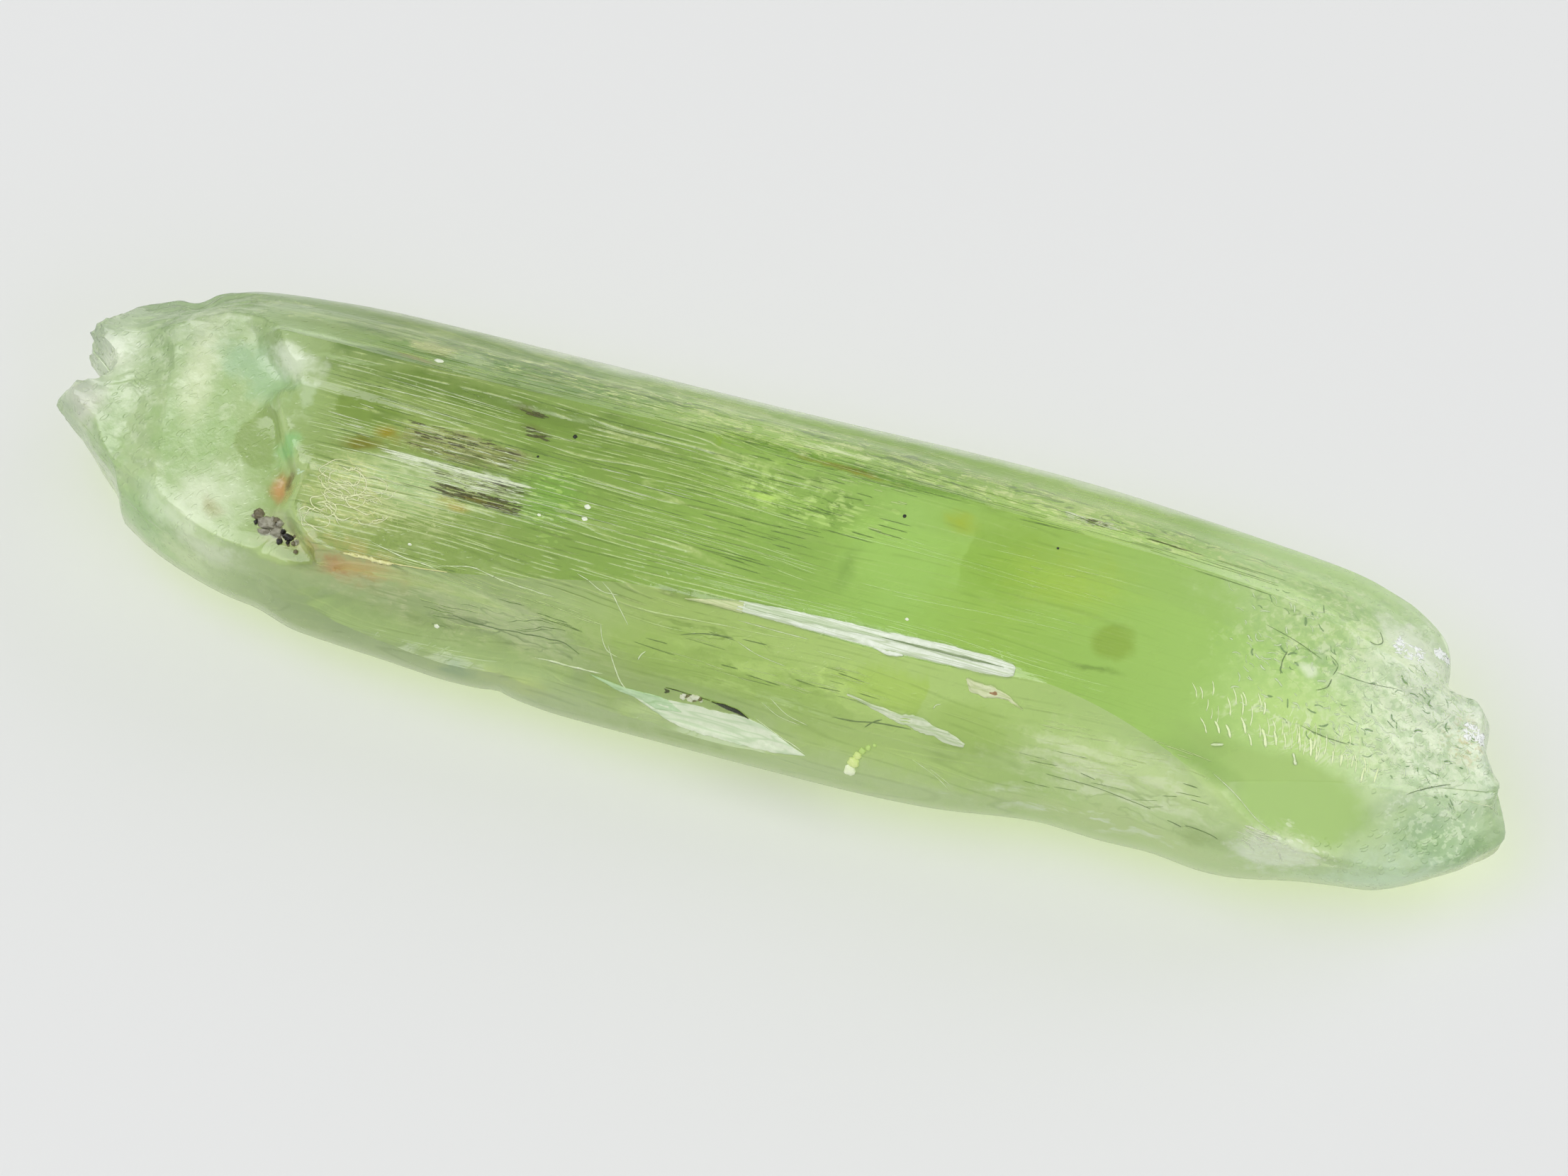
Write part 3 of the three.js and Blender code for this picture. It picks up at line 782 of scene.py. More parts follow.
    ("bright mottles, right", (2.55, 1.2, 5.8), (0.45, 0.55, 0.4), 0, 0.6, (198, 228, 140), 0.8, "chips"),
    ("bright band", (3.2, 0.3, 5.83), (1.5, 1.9, 0.5), 0, 0.6, (164, 203, 112), 0.85, "plain"),
    ("yellow spot", (4.3, 1.75, 5.8), (0.5, 0.26, 0.4), 0, 0.8, (168, 190, 68), 0.8, "plain"),
    ("right of step", (5.9, 0.9, 5.8), (1.8, 1.2, 0.4), 0, 0.9, (146, 184, 80), 0.8, "past the step"),
    ("yellow field", (7.6, 0.8, 5.8), (1.5, 0.9, 0.4), 0, 0.9, (170, 200, 92), 0.6, "plain"),
    ("olive spot", (9.2, -0.6, 5.8), (0.60, 0.52, 0.4), 0, 0.4, (140, 168, 66), 0.65, "clean"),
    ("olive smear", (8.9, -1.48, 5.8), (0.6, 0.1, 0.3), 0, 1.0, (124, 156, 78), 0.8, "plain"),
    ("orange far line", (0.9, 2.36, 5.66), (1.3, 0.10, 0.3), 0, 0.9, (150, 150, 44), 0.85, "plain"),
    ("white far splinter", (0.35, 3.05, 5.16), (1.3, 0.17, 0.3), 0, 0.6, (208, 224, 174), 0.9, "fibres"),
    ("far chip", (7.5, 3.05, 5.18), (0.9, 0.26, 0.3), 0, 0.6, (206, 212, 164), 0.85, "chips"),
    ("far chip, dark", (7.6, 3.0, 5.2), (0.42, 0.16, 0.24), 0, 0.6, (92, 96, 54), 0.9, "grains"),
    # The near bevel.
    # Painted light: the foot of the near bevel is painted paler along its whole length, as if lit.
    ("near foot, painted light", (1.0, -4.8, 2.8), (15, 0.55, 0.75), 0, 0.9, (196, 216, 166), 0.6, "plain"),
    ("milky left bevel", (-9.5, -4.5, 3.3), (5.5, 0.5, 0.9), 0, 0.7, (158, 184, 124), 0.7, "plain"),
    ("pale upper bevel", (-7.4, -3.25, 5.0), (3.6, 0.45, 0.6), 0, 0.7, (184, 206, 148), 0.6, "plain"),
    ("pale bevel", (-6.4, -3.85, 4.2), (1.9, 0.4, 0.8), 0, 0.9, (200, 220, 160), 0.6, "plain"),
    ("left bevel veils", (-7.4, -3.9, 4.2), (4.6, 0.7, 1.1), 0, 0.6, (192, 210, 154), 0.65, "veils"),
    ("left bevel dashes", (-7.4, -3.9, 4.2), (4.4, 0.6, 1.0), 0, 0.6, (206, 220, 168), 0.5, "dashes"),
    ("yellow low patch", (-6.0, -4.9, 2.85), (0.9, 0.22, 0.5), 0, 0.8, (190, 210, 140), 0.85, "plain"),
    ("blue low patch", (-7.6, -4.9, 2.7), (0.5, 0.2, 0.4), 0, 0.9, (152, 182, 140), 0.7, "plain"),
    ("bevel dark hairs", (-6.4, -4.0, 4.1), (3.2, 0.4, 0.6), 0, 0.6, (100, 130, 70), 0.6, "hairs"),
    ("middle bevel", (-0.5, -3.8, 4.5), (3.6, 0.7, 1.0), 0, 0.6, (164, 194, 110), 0.8, "plain"),
    ("middle bevel veils", (0.8, -3.7, 4.6), (3.4, 0.6, 0.9), 0, 0.5, (190, 218, 136), 0.6, "veils"),
    ("middle bevel darks", (0.4, -3.2, 5.0), (3.4, 0.5, 0.8), 0, 0.5, (118, 150, 66), 0.5, "hairs"),
    # Painted glints: these two bright marks stand for glints on the middle of the near bevel.
    ("bevel glints, painted", (2.4, -3.25, 4.95), (0.6, 0.55, 0.6), 0, 0.7, (198, 226, 140), 0.8, "mottle"),
    ("low bevel glints, painted", (1.4, -4.1, 4.1), (1.0, 0.3, 0.5), 0, 0.7, (194, 220, 156), 0.7, "dashes"),
    ("left of step", (4.6, -3.1, 5.0), (2.1, 0.55, 0.9), 0, 0.5, (178, 208, 112), 0.85, "before the step"),
    ("grey bevel", (6.0, -3.5, 4.6), (1.4, 0.7, 1.0), 0, 0.7, (164, 194, 108), 0.6, "plain"),
    ("pale right bevel", (10.8, -3.5, 4.3), (3.0, 0.8, 1.2), -3, 0.7, (204, 224, 168), 0.8, "plain"),
    ("milky right foot", (10.4, -4.35, 3.0), (3.4, 0.4, 0.8), 2, 0.8, (192, 213, 152), 0.8, "plain"),
    ("milky foot streaks", (9.4, -4.3, 3.0), (3.0, 0.4, 0.5), 2, 0.8, (222, 234, 208), 0.8, "veils"),
    ("olive right foot", (12.7, -4.3, 3.6), (1.1, 0.3, 0.5), 2, 0.8, (152, 178, 106), 0.6, "plain"),
    ("right bevel veils", (10.6, -3.6, 4.2), (3.4, 0.8, 1.3), -3, 0.6, (224, 236, 192), 0.7, "veils"),
    ("right bevel darks", (10.8, -3.9, 3.9), (2.6, 0.5, 0.7), -6, 0.6, (124, 150, 82), 0.35, "hairs"),
    # The etched right end.
    ("pale far right", (13.4, 2.3, 5.2), (2.6, 1.2, 1.0), 0, 0.8, (184, 211, 150), 0.7, "plain"),
    ("right mottle", (16.2, 0.8, 4.4), (3.4, 2.6, 2.0), -20, 0.6, (150, 188, 124), 0.6, "clouds"),
    # Painted sparkle: the slivers are raised by the etched relief, and painted pale as the glints on them.
    ("right sparkle, painted", (15.8, 1.0, 4.8), (3.6, 2.6, 2.0), -12, 0.6, (216, 236, 180), 0.3, "slivers"),
    ("right flecks", (15.8, 1.0, 4.6), (4.0, 2.6, 2.4), -12, 0.6, (220, 238, 192), 0.45, "frost"),
    ("right hollows", (15.8, 1.0, 4.6), (4.0, 2.8, 2.4), -12, 0.6, (146, 184, 120), 0.35, "hollows"),
    ("right cracks", (14.8, 1.2, 4.9), (3.6, 2.0, 1.6), -12, 0.5, (106, 144, 82), 0.5, "cracks"),
    ("etched field", (14.6, -0.9, 4.8), (3.0, 1.2, 0.9), -2, 0.7, (189, 219, 143), 0.8, "plain"),
    # Painted highlight: the etched ripples are painted near white, standing for the light they catch.
    ("etched ripple highlights", (14.4, -1.25, 4.9), (2.7, 0.7, 0.9), 2, 0.5, (236, 248, 196), 0.7, "ripples"),
    ("grey-green tip", (18.5, -2.2, 3.2), (1.7, 1.1, 1.1), -25, 0.6, (150, 187, 132), 0.85, "plain"),
    ("tip scratches", (18.5, -2.0, 3.2), (1.8, 1.2, 1.3), 0, 0.6, (204, 228, 184), 0.5, "frost"),
    # Painted light: the right rim is painted paler, so that the shade on the steep lower faces of the tip
    # hardly shows.
    ("right rim, painted light", (17.4, -3.4, 2.3), (3.0, 1.2, 0.9), -12, 0.9, (206, 230, 198), 0.8, "plain"),
    ("white spot", (14.15, 0.5, 5.1), (0.24, 0.20, 0.4), 0, 0.7, (228, 240, 210), 0.9, "plain"),
    ("dark smear", (15.1, -1.1, 4.9), (0.55, 0.08, 0.4), -4, 1.0, (146, 182, 102), 0.75, "plain"),
    ("milky right end", (17.4, 0.9, 4.0), (2.6, 2.8, 2.4), -12, 0.8, (228, 244, 210), 0.75, "plain"),
    ("end slivers", (17.8, 0.4, 3.9), (2.3, 2.6, 2.4), 0, 0.6, (244, 250, 232), 0.5, "frost"),
    ("end pits", (17.8, 0.4, 3.9), (2.4, 2.8, 2.6), 0, 0.6, (156, 192, 138), 0.4, "hollows"),
    ("frosted corner", (16.55, 2.3, 4.0), (1.15, 0.66, 1.05), -30, 0.5, (255, 255, 255), 1.0, "plain"),
    ("frosted corner, grit", (16.6, 2.2, 4.0), (1.3, 0.8, 1.1), -30, 0.6, (250, 254, 250), 0.9, "grains"),
    ("frosted tip", (18.65, 0.7, 3.7), (0.7, 0.5, 0.8), -45, 0.8, (252, 255, 248), 0.95, "frost"),
    ("frosted tip, soft", (18.9, 0.65, 3.4), (0.6, 0.5, 0.9), -45, 0.8, (252, 255, 250), 0.8, "plain"),
    ("ochre grains", (18.5, 0.3, 3.7), (0.6, 0.5, 0.7), -45, 0.8, (196, 186, 132), 0.6, "grains"),
    ("smooth facet, left", (12.4, -2.55, 4.85), (1.6, 0.46, 1.0), -8, 0.7, (158, 189, 114), 0.9, "clean"),
    ("smooth facet", (14.7, -2.8, 4.6), (2.35, 1.0, 1.5), 4, 0.3, (169, 199, 126), 0.9, "clean"),
    # Painted shade: where the facet tilts it catches more light, so that part is painted darker than the
    # flat part.
    ("smooth facet, tilted, painted shade", (14.9, -3.0, 4.4), (2.3, 1.0, 1.5), 4, 0.3, (158, 193, 106), 0.9, "tilted"),
    ("smooth facet, tail", (12.2, -3.1, 5.25), (1.3, 0.35, 0.6), -12, 0.8, (148, 180, 106), 0.75, "clean"),
    ("pinkish frost", (14.6, -4.2, 3.4), (1.4, 0.46, 0.85), -4, 0.5, (255, 255, 246), 1.0, "plain"),
    ("pinkish frost, chips", (14.8, -4.0, 3.5), (1.7, 0.5, 0.8), -4, 0.5, (248, 250, 236), 0.8, "chips"),
    ("pinkish frost, dark", (14.8, -4.0, 3.5), (1.6, 0.5, 0.8), -4, 0.5, (200, 212, 170), 0.35, "fibres"),
]


REFRACTION = 1.66
CLEARNESS = 0.55  # the rest of its skin is milky
FILTER_COLOUR = (0.74, 0.86, 0.36, 1)  # of white light that has passed through
FILTER_DENSITY = 70.0  # per metre
SHADOW_COLOUR = (0.86, 0.93, 0.66, 1)
RELIEF = 0.014  # how far a height of one stands up

STEP_X = 4.73  # where one patch of colour ends in a line across, and another starts
GROWTH_DARK = (106, 134, 62)
GROWTH_PALE = (200, 218, 152)
UNDER_WHITE = (240, 244, 222)


def along_the_part(nodes, x, stops):
    """A colour that changes along the crystal."""
    length = float(HIGH[0] - LOW[0])
    place = nodes.math("DIVIDE", nodes.math("SUBTRACT", x, float(LOW[0])), length)
    return nodes.ramp(place, [((at - LOW[0]) / length, skin_tint(*look)) for at, look in stops])


def chips(nodes, point, size, turn):
    """Tiny flat chips of a size, turned round Z: how bright each is, and how far its middle."""
    stretched = nodes.vector("DIVIDE", nodes.turned(point, math.radians(turn)), size)
    cells = nodes.put("ShaderNodeTexVoronoi", {"Vector": stretched, "Scale": 1.0})
    return nodes.split(cells.outputs["Color"])["X"], cells.outputs["Distance"]


def bent_across(nodes, place):
    """The place with X bowed over Y, so that lines across the crystal come out bent."""
    off = nodes.math("ADD", place["Y"], 1.1)
    bow = nodes.math("SUBTRACT", nodes.times(off, off, 0.5), nodes.times(off, 0.35))
    return nodes.combined(nodes.math("ADD", place["X"], bow), place["Y"])


def textures(nodes, point, loose, tilted):
    """The textures that a mark can have, by name: 1 where the mark shows."""
    drift = nodes.noise(nodes.vector("DIVIDE", point, (2.2, 0.45, 0.6)), 1.0, 1.0)
    broken = nodes.spread(drift, 0.40, 0.58)
    grit = nodes.noise(point, 1 / 0.13, 3.0, 0.6)
    frost = nodes.noise(point, 1 / 0.24, 2.0, 0.6)
    cloud = nodes.noise(loose, 1 / 1.3, 3.0, 0.6)
    speckle = nodes.noise(loose, 1 / 0.42, 3.0, 0.65)
    veil = nodes.noise(nodes.vector("DIVIDE", loose, (1.5, 0.34, 0.4)), 1.0, 3.0, 0.6)
    fibre = nodes.group(THREADS, Point=point, Size=(1.1, 0.10, 0.12), Width=0.13)
    hair = nodes.group(THREADS, Point=loose, Size=(3.0, 0.24, 0.3), Width=0.07)
    curl = nodes.group(THREADS, Point=loose, Size=(0.36, 0.20, 0.24), Width=0.07)
    crack = nodes.group(THREADS, Point=loose, Size=(1.7, 0.8, 0.8), Width=0.016)
    place = nodes.split(loose)
    bent = bent_across(nodes, place)
    ripple = nodes.group(THREADS, Point=bent, Size=(0.20, 0.55, 1.0), Width=0.09)
    flat, flat_rim = chips(nodes, loose, (0.30, 0.11, 0.16), 0.0)
    slant, slant_rim = chips(nodes, loose, (0.26, 0.10, 0.16), -50.0)
    past = nodes.spread(place["X"], STEP_X - 0.05, STEP_X + 0.05)
    slanted = nodes.spread(slant, 0.60, 0.70)
    return {
        "grit": grit,
        "clouds": nodes.spread(cloud, 0.42, 0.60),
        "mottle": nodes.spread(speckle, 0.46, 0.64),
        "veils": nodes.spread(veil, 0.46, 0.62),
        "grains": nodes.spread(grit, 0.50, 0.60),
        "fibres": nodes.math("MAXIMUM", fibre["Lines"], nodes.spread(grit, 0.58, 0.66)),
        "dashes": nodes.times(fibre["Lines"], nodes.spread(speckle, 0.44, 0.56)),
        "hairs": nodes.times(hair["Lines"], broken),
        "curls": nodes.times(curl["Lines"], nodes.spread(cloud, 0.38, 0.50)),
        "cracks": nodes.times(crack["Lines"], broken),
        "ripples": nodes.times(ripple["Lines"], nodes.spread(speckle, 0.44, 0.54)),
        "chips": nodes.times(nodes.spread(flat, 0.52, 0.62), nodes.spread(flat_rim, 0.55, 0.38)),
        "slivers": nodes.times(slanted, nodes.spread(slant_rim, 0.50, 0.32)),
        "frost": nodes.spread(frost, 0.52, 0.60),
        "hollows": nodes.spread(frost, 0.47, 0.40),
        "past the step": past,
        "before the step": nodes.math("SUBTRACT", 1.0, past),
        "tilted": tilted,
    }


def face_colours(nodes, point, loose, bevelled):
    """The colours of the upper face and the two bevels, before anything marks them."""
    place = nodes.split(point)
    upper = along_the_part(nodes, nodes.split(loose)["X"], UPPER_COLOURS)
    near = along_the_part(nodes, place["X"], NEAR_COLOURS)
    far = along_the_part(nodes, place["X"], FAR_COLOURS)
    bevel = nodes.blend(nodes.spread(place["Y"], -0.5, 0.5), near, far)
    return nodes.blend(bevelled, upper, bevel)


def marked(nodes, colour, point, loose, texture):
    """The colour with every mark laid over it in turn."""
    fray = nodes.times(nodes.math("SUBTRACT", nodes.noise(point, 1 / 0.5, 3.0, 0.6), 0.5), 1.4)
    calm = nodes.times(fray, 0.3)
    for name, centre, size, turn, softness, look, strength, kind in MARKS:
        edge = calm if kind in ("clean", "tilted") else fray
        mask = patch(nodes, name, loose, centre, size, turn, softness, edge)
        mask = nodes.times(mask, strength)
        if kind in texture:
            mask = nodes.times(mask, texture[kind])
        colour = nodes.blend(mask, colour, skin_tint(*look))
    return colour


def growth_lines(nodes, colour, point, grit):
    """The colour with fine, bold and dark growth lines over it, and how high they stand."""
    place = nodes.split(point)
    x, z = place["X"], place["Z"]
    fine = nodes.group(GROWTH_LINES, Point=point, Spacing=0.125, Length=1.6, Width=0.22, Seed=0.0)
    bold = nodes.group(GROWTH_LINES, Point=point, Spacing=0.42, Length=4.5, Width=0.085, Seed=5.0)
    dark = nodes.group(GROWTH_LINES, Point=point, Spacing=0.19, Length=1.9, Width=0.20, Seed=9.0)
    on_top = nodes.spread(z, 5.1, 5.5)
    left_half = nodes.times(nodes.spread(x, -13.2, -12.2), nodes.spread(x, 2.5, -3.0), on_top)
    whole = nodes.times(nodes.spread(x, -14.0, -12.0), nodes.spread(x, 12.5, 7.0))

    def strength(on_left, everywhere):
        """How strongly lines show: on the left half of the upper face, and elsewhere."""
        return nodes.total(nodes.times(left_half, on_left), nodes.times(whole, everywhere))

    beaded = nodes.spread(grit, 0.35, 0.65, 0.45, 1.0)
    pale = nodes.times(fine["Lines"], strength(0.40, 0.15), beaded)
    strong = nodes.times(bold["Lines"], strength(0.6, 0.1), beaded)
    deep = nodes.times(dark["Lines"], strength(0.45, 0.2))
    colour = nodes.blend(deep, colour, skin_tint(*GROWTH_DARK))
    colour = nodes.blend(nodes.math("MAXIMUM", pale, strong), colour, skin_tint(*GROWTH_PALE))
    high = nodes.total(nodes.times(fine["Lines"], 0.5), bold["Lines"])
    return colour, nodes.times(high, strength(0.6, 0.3))


def etched_relief(nodes, point, ends, texture):
    """How high the etching stands: most at the ends, and not on the smooth facet."""
    rough = nodes.total(texture["grit"], nodes.times(texture["slivers"], 1.2))
    rough = nodes.times(rough, nodes.total(nodes.times(ends, 0.9), 0.15))
    facet = patch(nodes, "smooth facet", point, (14.8, -2.8, 4.4), (2.7, 1.0, 1.5), 4, 0.25, 0.0)
    return nodes.times(rough, nodes.math("SUBTRACT", 1.0, facet))


def shaders_mixed(nodes, share, first, second):
    """The first shader, turning to the second where the share is 1."""
    mixed = nodes.put("ShaderNodeMixShader", {0: share})
    nodes.feed(mixed.inputs[1], first)
    nodes.feed(mixed.inputs[2], second)
    return mixed.outputs["Shader"]


def hiddenite():
    """Clear green crystal: striated faces, milky and etched ends, matt under faces."""
    material, nodes, shader = new_material("hiddenite")
    point = nodes.part_point()
    loose = nodes.ragged(nodes.ragged(point, 1.6, 0.22), 0.3, 0.05)
    place = nodes.split(point)
    ends = nodes.spread(nodes.math("ABSOLUTE", place["X"]), 12.5, 18.0)
    under = nodes.spread(place["Z"], 2.6, 1.6)
    facing = nodes.split(nodes.put("ShaderNodeNewGeometry", {}).outputs["True Normal"])
    bevelled = nodes.spread(nodes.math("ABSOLUTE", facing["Z"]), 0.95, 0.86)
    texture = textures(nodes, point, loose, bevelled)

    plain_colour = face_colours(nodes, point, loose, bevelled)
    colour = marked(nodes, plain_colour, point, loose, texture)
    colour, lines_high = growth_lines(nodes, colour, point, texture["grit"])
    matt_white = tint(*UNDER_WHITE)
    nodes.feed(shader.inputs["Base Color"], nodes.blend(under, colour, matt_white))
    dull = nodes.math("MAXIMUM", nodes.times(ends, 0.09), nodes.times(under, 0.12))
    rough = nodes.total(dull, nodes.times(texture["grit"], 0.06), 0.08)
    nodes.feed(shader.inputs["Roughness"], rough)
    height = nodes.total(lines_high, etched_relief(nodes, point, ends, texture))
    bump(nodes, shader, height, RELIEF)

    # Seen from within and from below, the skin is plain.
    inner = nodes.put("ShaderNodeBsdfPrincipled", {})
    nodes.feed(inner.inputs["Base Color"], nodes.blend(under, plain_colour, matt_white))
    nodes.feed(inner.inputs["Roughness"], nodes.total(dull, 0.11))
    for skin in (shader, inner):
        skin.inputs["IOR"].default_value = REFRACTION
        skin.inputs["Transmission Weight"].default_value = CLEARNESS
    within = nodes.put("ShaderNodeNewGeometry", {}).outputs["Backfacing"]
    hidden = nodes.math("MAXIMUM", within, nodes.math("LESS_THAN", place["Z"], 1.5))
    body = shaders_mixed(nodes, hidden, shader.outputs["BSDF"], inner.outputs["BSDF"])

    # Its shadow is a clear green one, and the light through it is filtered on the way.
    in_shadow = nodes.put("ShaderNodeLightPath", {}).outputs["Is Shadow Ray"]
    lit = nodes.put("ShaderNodeBsdfTransparent", {"Color": SHADOW_COLOUR})
    filtered = {"Color": FILTER_COLOUR, "Density": FILTER_DENSITY}
    filling = nodes.put("ShaderNodeVolumeAbsorption", filtered)
    output = material.node_tree.nodes["Material Output"]
    surface = shaders_mixed(nodes, in_shadow, body, lit.outputs["BSDF"])
    nodes.feed(output.inputs["Surface"], surface)
    nodes.feed(output.inputs["Volume"], filling.outputs["Volume"])
    return material


def cleavage(name, light, dark, spacing=0.09, shine=0.35):
    """White splintery cleavage: lines of air along the crystal, lighter and darker, with painted shade in
    the hollows of its grainy bump.
    """
    material, nodes, shader = new_material(name)
    point = nodes.part_point()
    fibres = nodes.group(THREADS, Point=point, Size=(2.5, spacing, spacing), Width=0.12)
    crumbs = nodes.group(CRUMBLE, Point=point, Size=0.16, Contrast=0.5)
    # Painted shade: the crumbs are darker where their bump is low.
    hollows = nodes.times(nodes.math("SUBTRACT", 1.0, crumbs["Grain"]), 0.4)
    shade = nodes.math("MAXIMUM", nodes.times(fibres["Lines"], 0.85), hollows)
    nodes.feed(shader.inputs["Base Color"], nodes.blend(shade, tint(*light), tint(*dark)))
    nodes.feed(shader.inputs["Roughness"], nodes.total(nodes.times(crumbs["Grain"], 0.2), shine))
    bump(nodes, shader, nodes.total(fibres["Height"], crumbs["Height"]), 0.02)
    return material


def grain_finish(name, light, dark, rough):
    """Dull mineral grain, darker in the hollows of its bump as painted shade."""
    material, nodes, shader = new_material(name)
    point = nodes.part_point()
    crumbs = nodes.group(CRUMBLE, Point=point, Size=0.14, Contrast=0.8)
    # Painted shade: the dark colour goes where the crumbs' bump is low.
    colour = nodes.blend(crumbs["Grain"], tint(*dark), tint(*light))
    nodes.feed(shader.inputs["Base Color"], colour)
    duller = nodes.math("SUBTRACT", rough, nodes.times(crumbs["Grain"], 0.2))
    nodes.feed(shader.inputs["Roughness"], duller)
    bump(nodes, shader, crumbs["Height"], 0.05)
    return material


def plain_floor():
    """Pale matt table."""
    material, _, shader = new_material("plain_floor")
    shader.inputs["Base Color"].default_value = (0.80, 0.80, 0.79, 1)
    shader.inputs["Roughness"].default_value = 0.9
    return material


# ---------------------------------------------------------------------------------------------
# Pieces: meshes that ride with the crystal, and thin films and flakes laid on its skin
# ---------------------------------------------------------------------------------------------

SKIN_POINTS, SKIN_FACES = crystal_skin()
SKIN = BVHTree.FromPolygons(SKIN_POINTS.tolist(), SKIN_FACES)

# The way out from each face that something lies on.
OUT = {
    "upper": Vector((0, 0, 1)),
    "near bevel": Vector((0, -0.72, 0.69)),
    "far bevel": Vector((0, 0.60, 0.80)),
    "near crest": Vector((0, -0.42, 0.91)),
}


def settle(point, out, lift=0.0):
    """The place on the skin under a point, looking along a face's way out."""
    start = Vector(point) + out
    place = SKIN.ray_cast(start, -out)[0]
    if place is None:
        place = SKIN.find_nearest(Vector(point))[0]
    return place + out * lift


def add_piece(name, points, faces, material, sharp_angle=None):
    """A piece from points in millimetres, smooth but for edges sharper than the angle."""
    mesh = bpy.data.meshes.new(name)
    mesh.from_pydata([tuple(Vector(p) * MM) for p in points], [], faces)
    mesh.validate()
    mesh.polygons.foreach_set("use_smooth", [True] * len(mesh.polygons))
    if sharp_angle is not None:
        mesh.set_sharp_from_angle(angle=math.radians(sharp_angle))
    mesh.materials.append(material)
    piece = bpy.data.objects.new(name, mesh)
    bpy.context.scene.collection.objects.link(piece)
    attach(piece, BODY)
    return piece


def closed_sheet(tops, thickness, out):
    """Points and faces of a thin closed plate: rows of top points and the same rows below."""
    rows, columns = len(tops), len(tops[0])
    points = [p for row in tops for p in row]
    points += [p - out * thickness for row in tops for p in row]
    below = rows * columns
    faces = []
    for i in range(rows - 1):
        for j in range(columns - 1):
            a = i * columns + j
            b, c, d = a + 1, a + columns + 1, a + columns
            faces.append((a, b, c, d))
            faces.append((a + below, d + below, c + below, b + below))
    rim = list(range(columns))
    rim += [i * columns + columns - 1 for i in range(1, rows)]
    rim += [(rows - 1) * columns + j for j in range(columns - 2, -1, -1)]
    rim += [i * columns for i in range(rows - 2, 0, -1)]
    for a, b in zip(rim, rim[1:] + rim[:1]):
        faces.append((b, a, a + below, b + below))
    return points, faces


def eased(t, places, values):
    """The value at t between values at some places from 0 to 1, rounded at its corners."""
    reach = min(t, 1 - t, 0.07)
    around = t + reach * np.linspace(-1, 1, 5)
    return float(np.mean(np.interp(around, places, values)))


def along_path(path, t):
    """A point at the fraction t along a line of points, rounded at its corners."""
    steps = np.cumsum([0.0] + [math.dist(a, b) for a, b in zip(path, path[1:])])
    return Vector([eased(t, steps / steps[-1], [p[c] for p in path]) for c in range(3)])


FLAKE_COLUMNS = 17


def raggedness(seed, run):
    """How a flake's half-width strays, from about -1.5 to 1.5, after a run along its path."""
    return float(wave(seed, 4 * run) + 0.5 * wave(seed, 11 * run))


def flake(name, face, path, widths, material, lift=0.02, ridges=0.0, ragged=0.0, seed=1, rows=90):
    """A long flake along a path, with its rim pressed into the skin.

    The widths are (fraction along, half-width left, half-width right). `lift` is how far it
    stands over the skin, `ridges` how high its ridges are, and `ragged` how much its width varies.
    """
    out = OUT[face]
    fractions = [w[0] for w in widths]
    length = sum(math.dist(a, b) for a, b in zip(path, path[1:]))
    tops = []
    for i in range(rows + 1):
        t = i / rows
        here = along_path(path, t)
        ahead = along_path(path, min(1, t + 0.02)) - along_path(path, max(0, t - 0.02))
        ahead = (ahead - out * ahead.dot(out)).normalized()
        across = out.cross(ahead)
        left = eased(t, fractions, [w[1] for w in widths])
        right = eased(t, fractions, [w[2] for w in widths])
        left *= 1 + ragged * raggedness(seed, t * length)
        right *= 1 + ragged * raggedness(seed + 1, t * length)
        row = []
        for j in range(FLAKE_COLUMNS):
            f = j / (FLAKE_COLUMNS - 1)
            spot = here + across * (left * (1 - f) - right * f)
            flat = 1 - (2 * f - 1) ** 6  # 1 over most of the width, and 0 at the rim
            ridge = ridges * float(wave(seed + 2, 7 * f, 6 * t))
            row.append(settle(spot, out, lift * (1.7 * flat - 0.7) + ridge * flat))
        tops.append(row)
    points, faces = closed_sheet(tops, 2.5 * lift + abs(ridges), out)
    add_piece(name, points, faces, material)


def lay_down(x, y):
    """The place on the skin seen from straight above, and the way out there."""
    return SKIN.ray_cast(Vector((x, y, 20.0)), Vector((0, 0, -1)))[:2]


def rounded(corners, step):
    """A smooth line of (x, y) points through its corners, about `step` apart."""
    line = []
    ends = [corners[0]] + list(corners) + [corners[-1]]
    for before, a, b, after in zip(ends, ends[1:], ends[2:], ends[3:]):
        count = max(2, math.ceil(math.dist(a, b) / step))
        for k in range(count):
            t = k / count
            line.append([
                0.5 * (2 * q + (r - p) * t + (2 * p - 5 * q + 4 * r - s) * t**2
                       + (3 * q - p - 3 * r + s) * t**3)
                for p, q, r, s in zip(before, a, b, after)
            ])
    line.append(list(corners[-1]))
    return line


STROKE_STEP = 0.05  # between the points along a thin line


